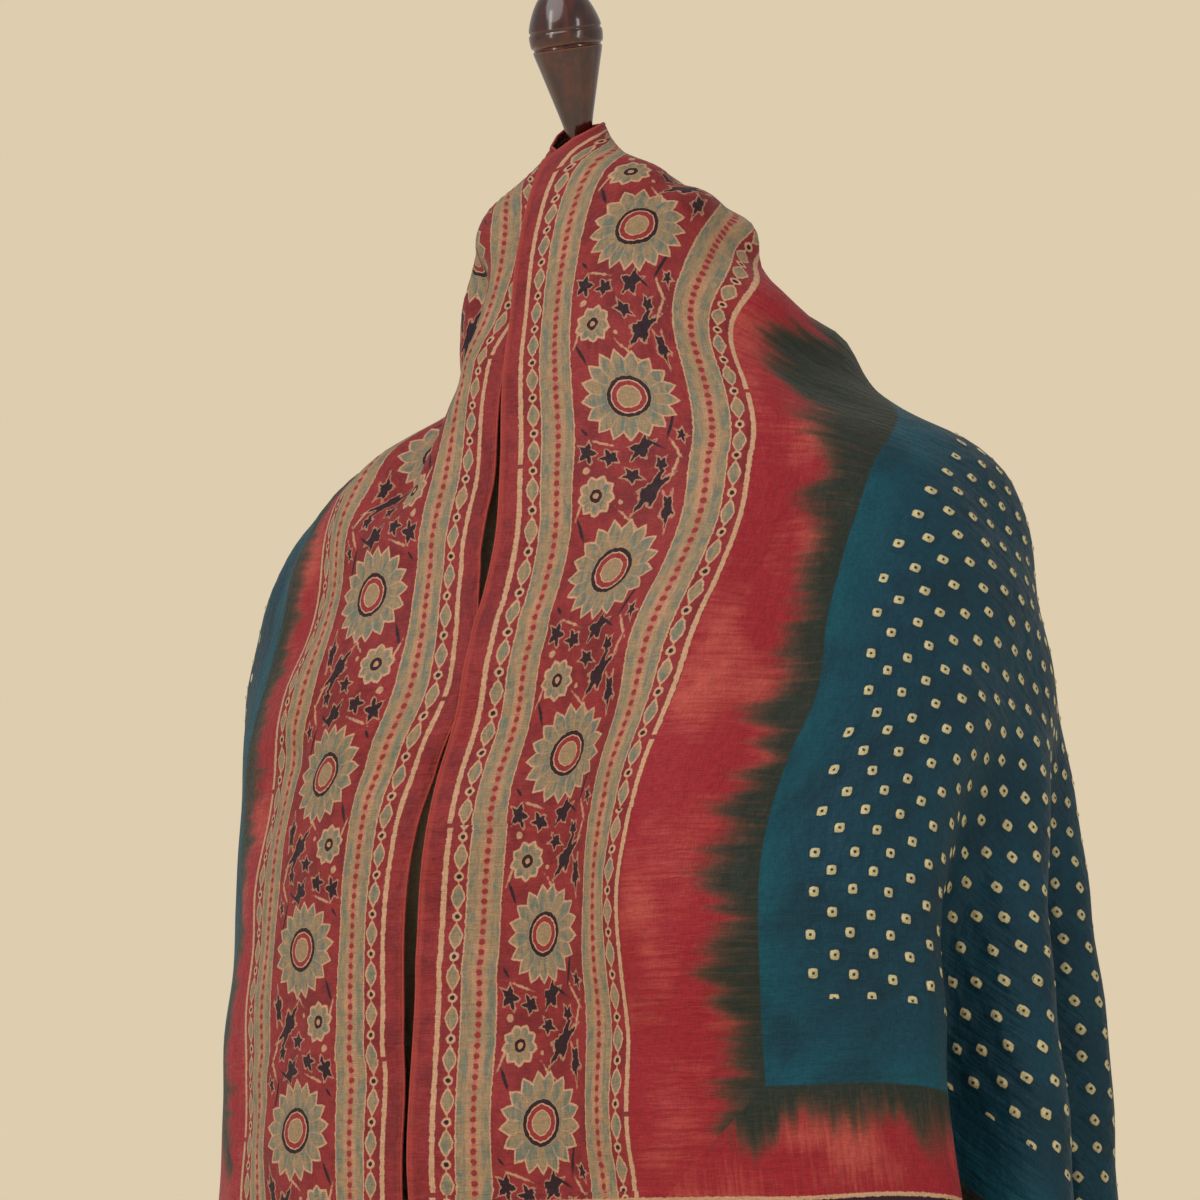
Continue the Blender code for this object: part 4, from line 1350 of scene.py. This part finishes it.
def makeTorso(material):
    shape = torsoShape
    drops = np.linspace(torsoTable[0][0], torsoTable[-1][0], shape["rings"])
    rows = readTable(drops, torsoTable)
    angles = 2 * math.pi * np.arange(shape["sides"]) / shape["sides"]
    points = []
    for drop, (halfWidth, frontY, backY, square) in zip(drops, rows):
        middleY, depth = (frontY + backY) / 2, (backY - frontY) / 2
        across, forward = np.cos(angles), np.sin(angles)
        radius = ovalRadius(across, forward, halfWidth, depth, square)
        size = radius.mean()
        for seam in torsoSeams:
            away = np.abs((angles - math.radians(seam) + math.pi) % (2 * math.pi) - math.pi) * size
            radius = radius - shape["seamDepth"] * np.exp(-((away / shape["seamWidth"]) ** 2))
        x, y = radius * across, middleY + radius * forward
        z = np.full(len(angles), neckTop - drop)
        if drop == drops[0]:
            under = neckTop - standShape["capDrop"] - standShape["capThickness"] / math.cos(lean)
            z = under + (y - standShape["capCentreY"]) * math.tan(lean) - 0.0003
        points.append(np.column_stack([x, y, z]))
    points = np.concatenate(points[::-1])
    sides, rings = shape["sides"], shape["rings"]
    faces = ringFaces(sides, rings)
    faces.append(tuple(reversed(range(sides))))
    faces.append(tuple(range((rings - 1) * sides, rings * sides)))
    return addPiece("formCover", points, faces, [material], sharp=standShape["sharpEdge"])


def makeLinen():
    made, net, shader = newMaterial("creamCover", 0.85, {"Sheen Weight": 0.25, "Sheen Roughness": 0.5})
    place = net.node("ShaderNodeTexCoord").outputs["Object"]
    parts = net.node("ShaderNodeSeparateXYZ", {0: place}).outputs
    x, y, z = [Wire(net, socket) * 1000 for socket in parts[:3]]
    warp = net.noise(net.vector(x * 1.6, y * 1.6, z * 0.12), 1.0, 1.0)
    weft = net.noise(net.vector(x * 0.12, y * 0.12, z * 1.6), 1.0, 1.0)
    soil = net.noise(place, 14.0, 3.0)
    colour = net.over(dye(196, 186, 158), dye(218, 208, 184), net.rise(warp + weft, 0.7, 1.3))
    colour = net.over(colour, dye(178, 164, 132), net.rise(soil, 0.5, 0.75) * 0.5)
    net.plug(shader.inputs["Base Color"], colour)
    addBump(net, shader, warp + weft, 0.5, 0.0006)
    return made


torso = makeTorso(makeLinen())
print("stage 7: form")


floorHalf = 14               # metres


def makeFloor():
    made, net, shader = newMaterial("paleFloor", 0.8)
    place = net.node("ShaderNodeTexCoord").outputs["Object"]
    cloud = net.noise(place, 1.5, 3.0)
    net.plug(shader.inputs["Base Color"], net.over(dye(243, 231, 207), dye(250, 239, 217), cloud))
    addBump(net, shader, net.noise(place, 60.0, 3.0), 0.05, 0.002)
    corners = [(x * floorHalf, y * floorHalf, 0) for x, y in ((-1, -1), (1, -1), (1, 1), (-1, 1))]
    piece = addPiece("floor", corners, [(0, 1, 2, 3)], [made], smooth=False)


def makeWorld():
    world = bpy.data.worlds.new("studio")
    bpy.context.scene.world = world
    world.use_nodes = True
    net = Net(world.node_tree)
    background = world.node_tree.nodes["Background"]
    seen = net.node("ShaderNodeLightPath").outputs["Is Camera Ray"]
    wall = dye(222, 205, 175)
    net.plug(background.inputs["Color"], net.over(dye(250, 246, 238), wall, seen))
    net.plug(background.inputs["Strength"], net.choose(seen, studio["ambient"], 1.0))


def aim(thing, place, target):
    thing.location = place
    thing.rotation_euler = (Vector(target) - Vector(place)).to_track_quat("-Z", "Y").to_euler()


def addLight(kind, name, place, target, power, colour):
    data = bpy.data.lights.new(name, kind)
    data.energy = power
    data.color = colour
    aim(addObject(name, data), place, target)
    return data


studio = {
    "ambient": 0.40,
    "sun": 1.38,
    "sunColour": (1.0, 0.965, 0.92),
    "softness": 55,
    "strip": 9,
    "stripSize": (0.35, 1.8),
    "stripColour": (1.0, 0.98, 0.95),
    "azimuth": math.radians(27),
    "distance": 2.3,
    "halfView": 0.312,
    "aimDrop": 0.233,        # below the top of the neck
    "cameraDrop": 0.60,
    "slide": 0.024,
}


def makeStudio():
    right = np.array([math.cos(studio["azimuth"]), math.sin(studio["azimuth"]), 0])
    front = np.array([right[1], -right[0], 0])
    middle = np.array([0, 0, 1.15])
    sunPlace = front * 1.1 - right * 0.9 + (0, 0, 1.3)
    sun = addLight("SUN", "softSun", sunPlace, (0, 0, 0), studio["sun"], studio["sunColour"])
    sun.angle = math.radians(studio["softness"])
    for name, place in (
        ("leftStrip", front * 1.6 - right * 1.7 + (0, 0, 1.8)),
        ("rightStrip", front * 1.9 + right * 1.5 + (0, 0, 1.7)),
    ):
        strip = addLight("AREA", name, place, middle, studio["strip"], studio["stripColour"])
        strip.shape = "RECTANGLE"
        strip.size, strip.size_y = studio["stripSize"]
    camera = addObject("camera", bpy.data.cameras.new("camera"))
    slide = right * studio["slide"]
    target = np.array([0, 0, neckTop - studio["aimDrop"]]) - slide
    place = front * studio["distance"] + (0, 0, neckTop - studio["cameraDrop"]) - slide
    aim(camera, place, target)
    camera.data.angle = 2 * math.atan(studio["halfView"] / float(np.linalg.norm(target - place)))
    bpy.context.scene.camera = camera
    bpy.context.scene.view_settings.view_transform = "Standard"


makeFloor()
makeWorld()
makeStudio()
print("stage 8: studio")


# what each piece is made of, and the CAD node that it stands in for
slots = (
    (dupatta, "printed_silk", "dupatta"),
    (tiedDots3d, "printed_silk", None),
    (selvedge, "printed_silk", None),
    (hem, "printed_silk", None),
    (stitches, "printed_silk", None),
    (finial, "dark_wood", "finial"),
    (neckCap, "dark_wood", "neck_cap"),
    (torso, "cream_cover", "torso"),
    (post, "stand_wood", "post"),
    (base, "stand_wood", "base"),
)
for piece, slotName, node in slots:
    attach(piece, "root")
    if node:
        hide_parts(node)
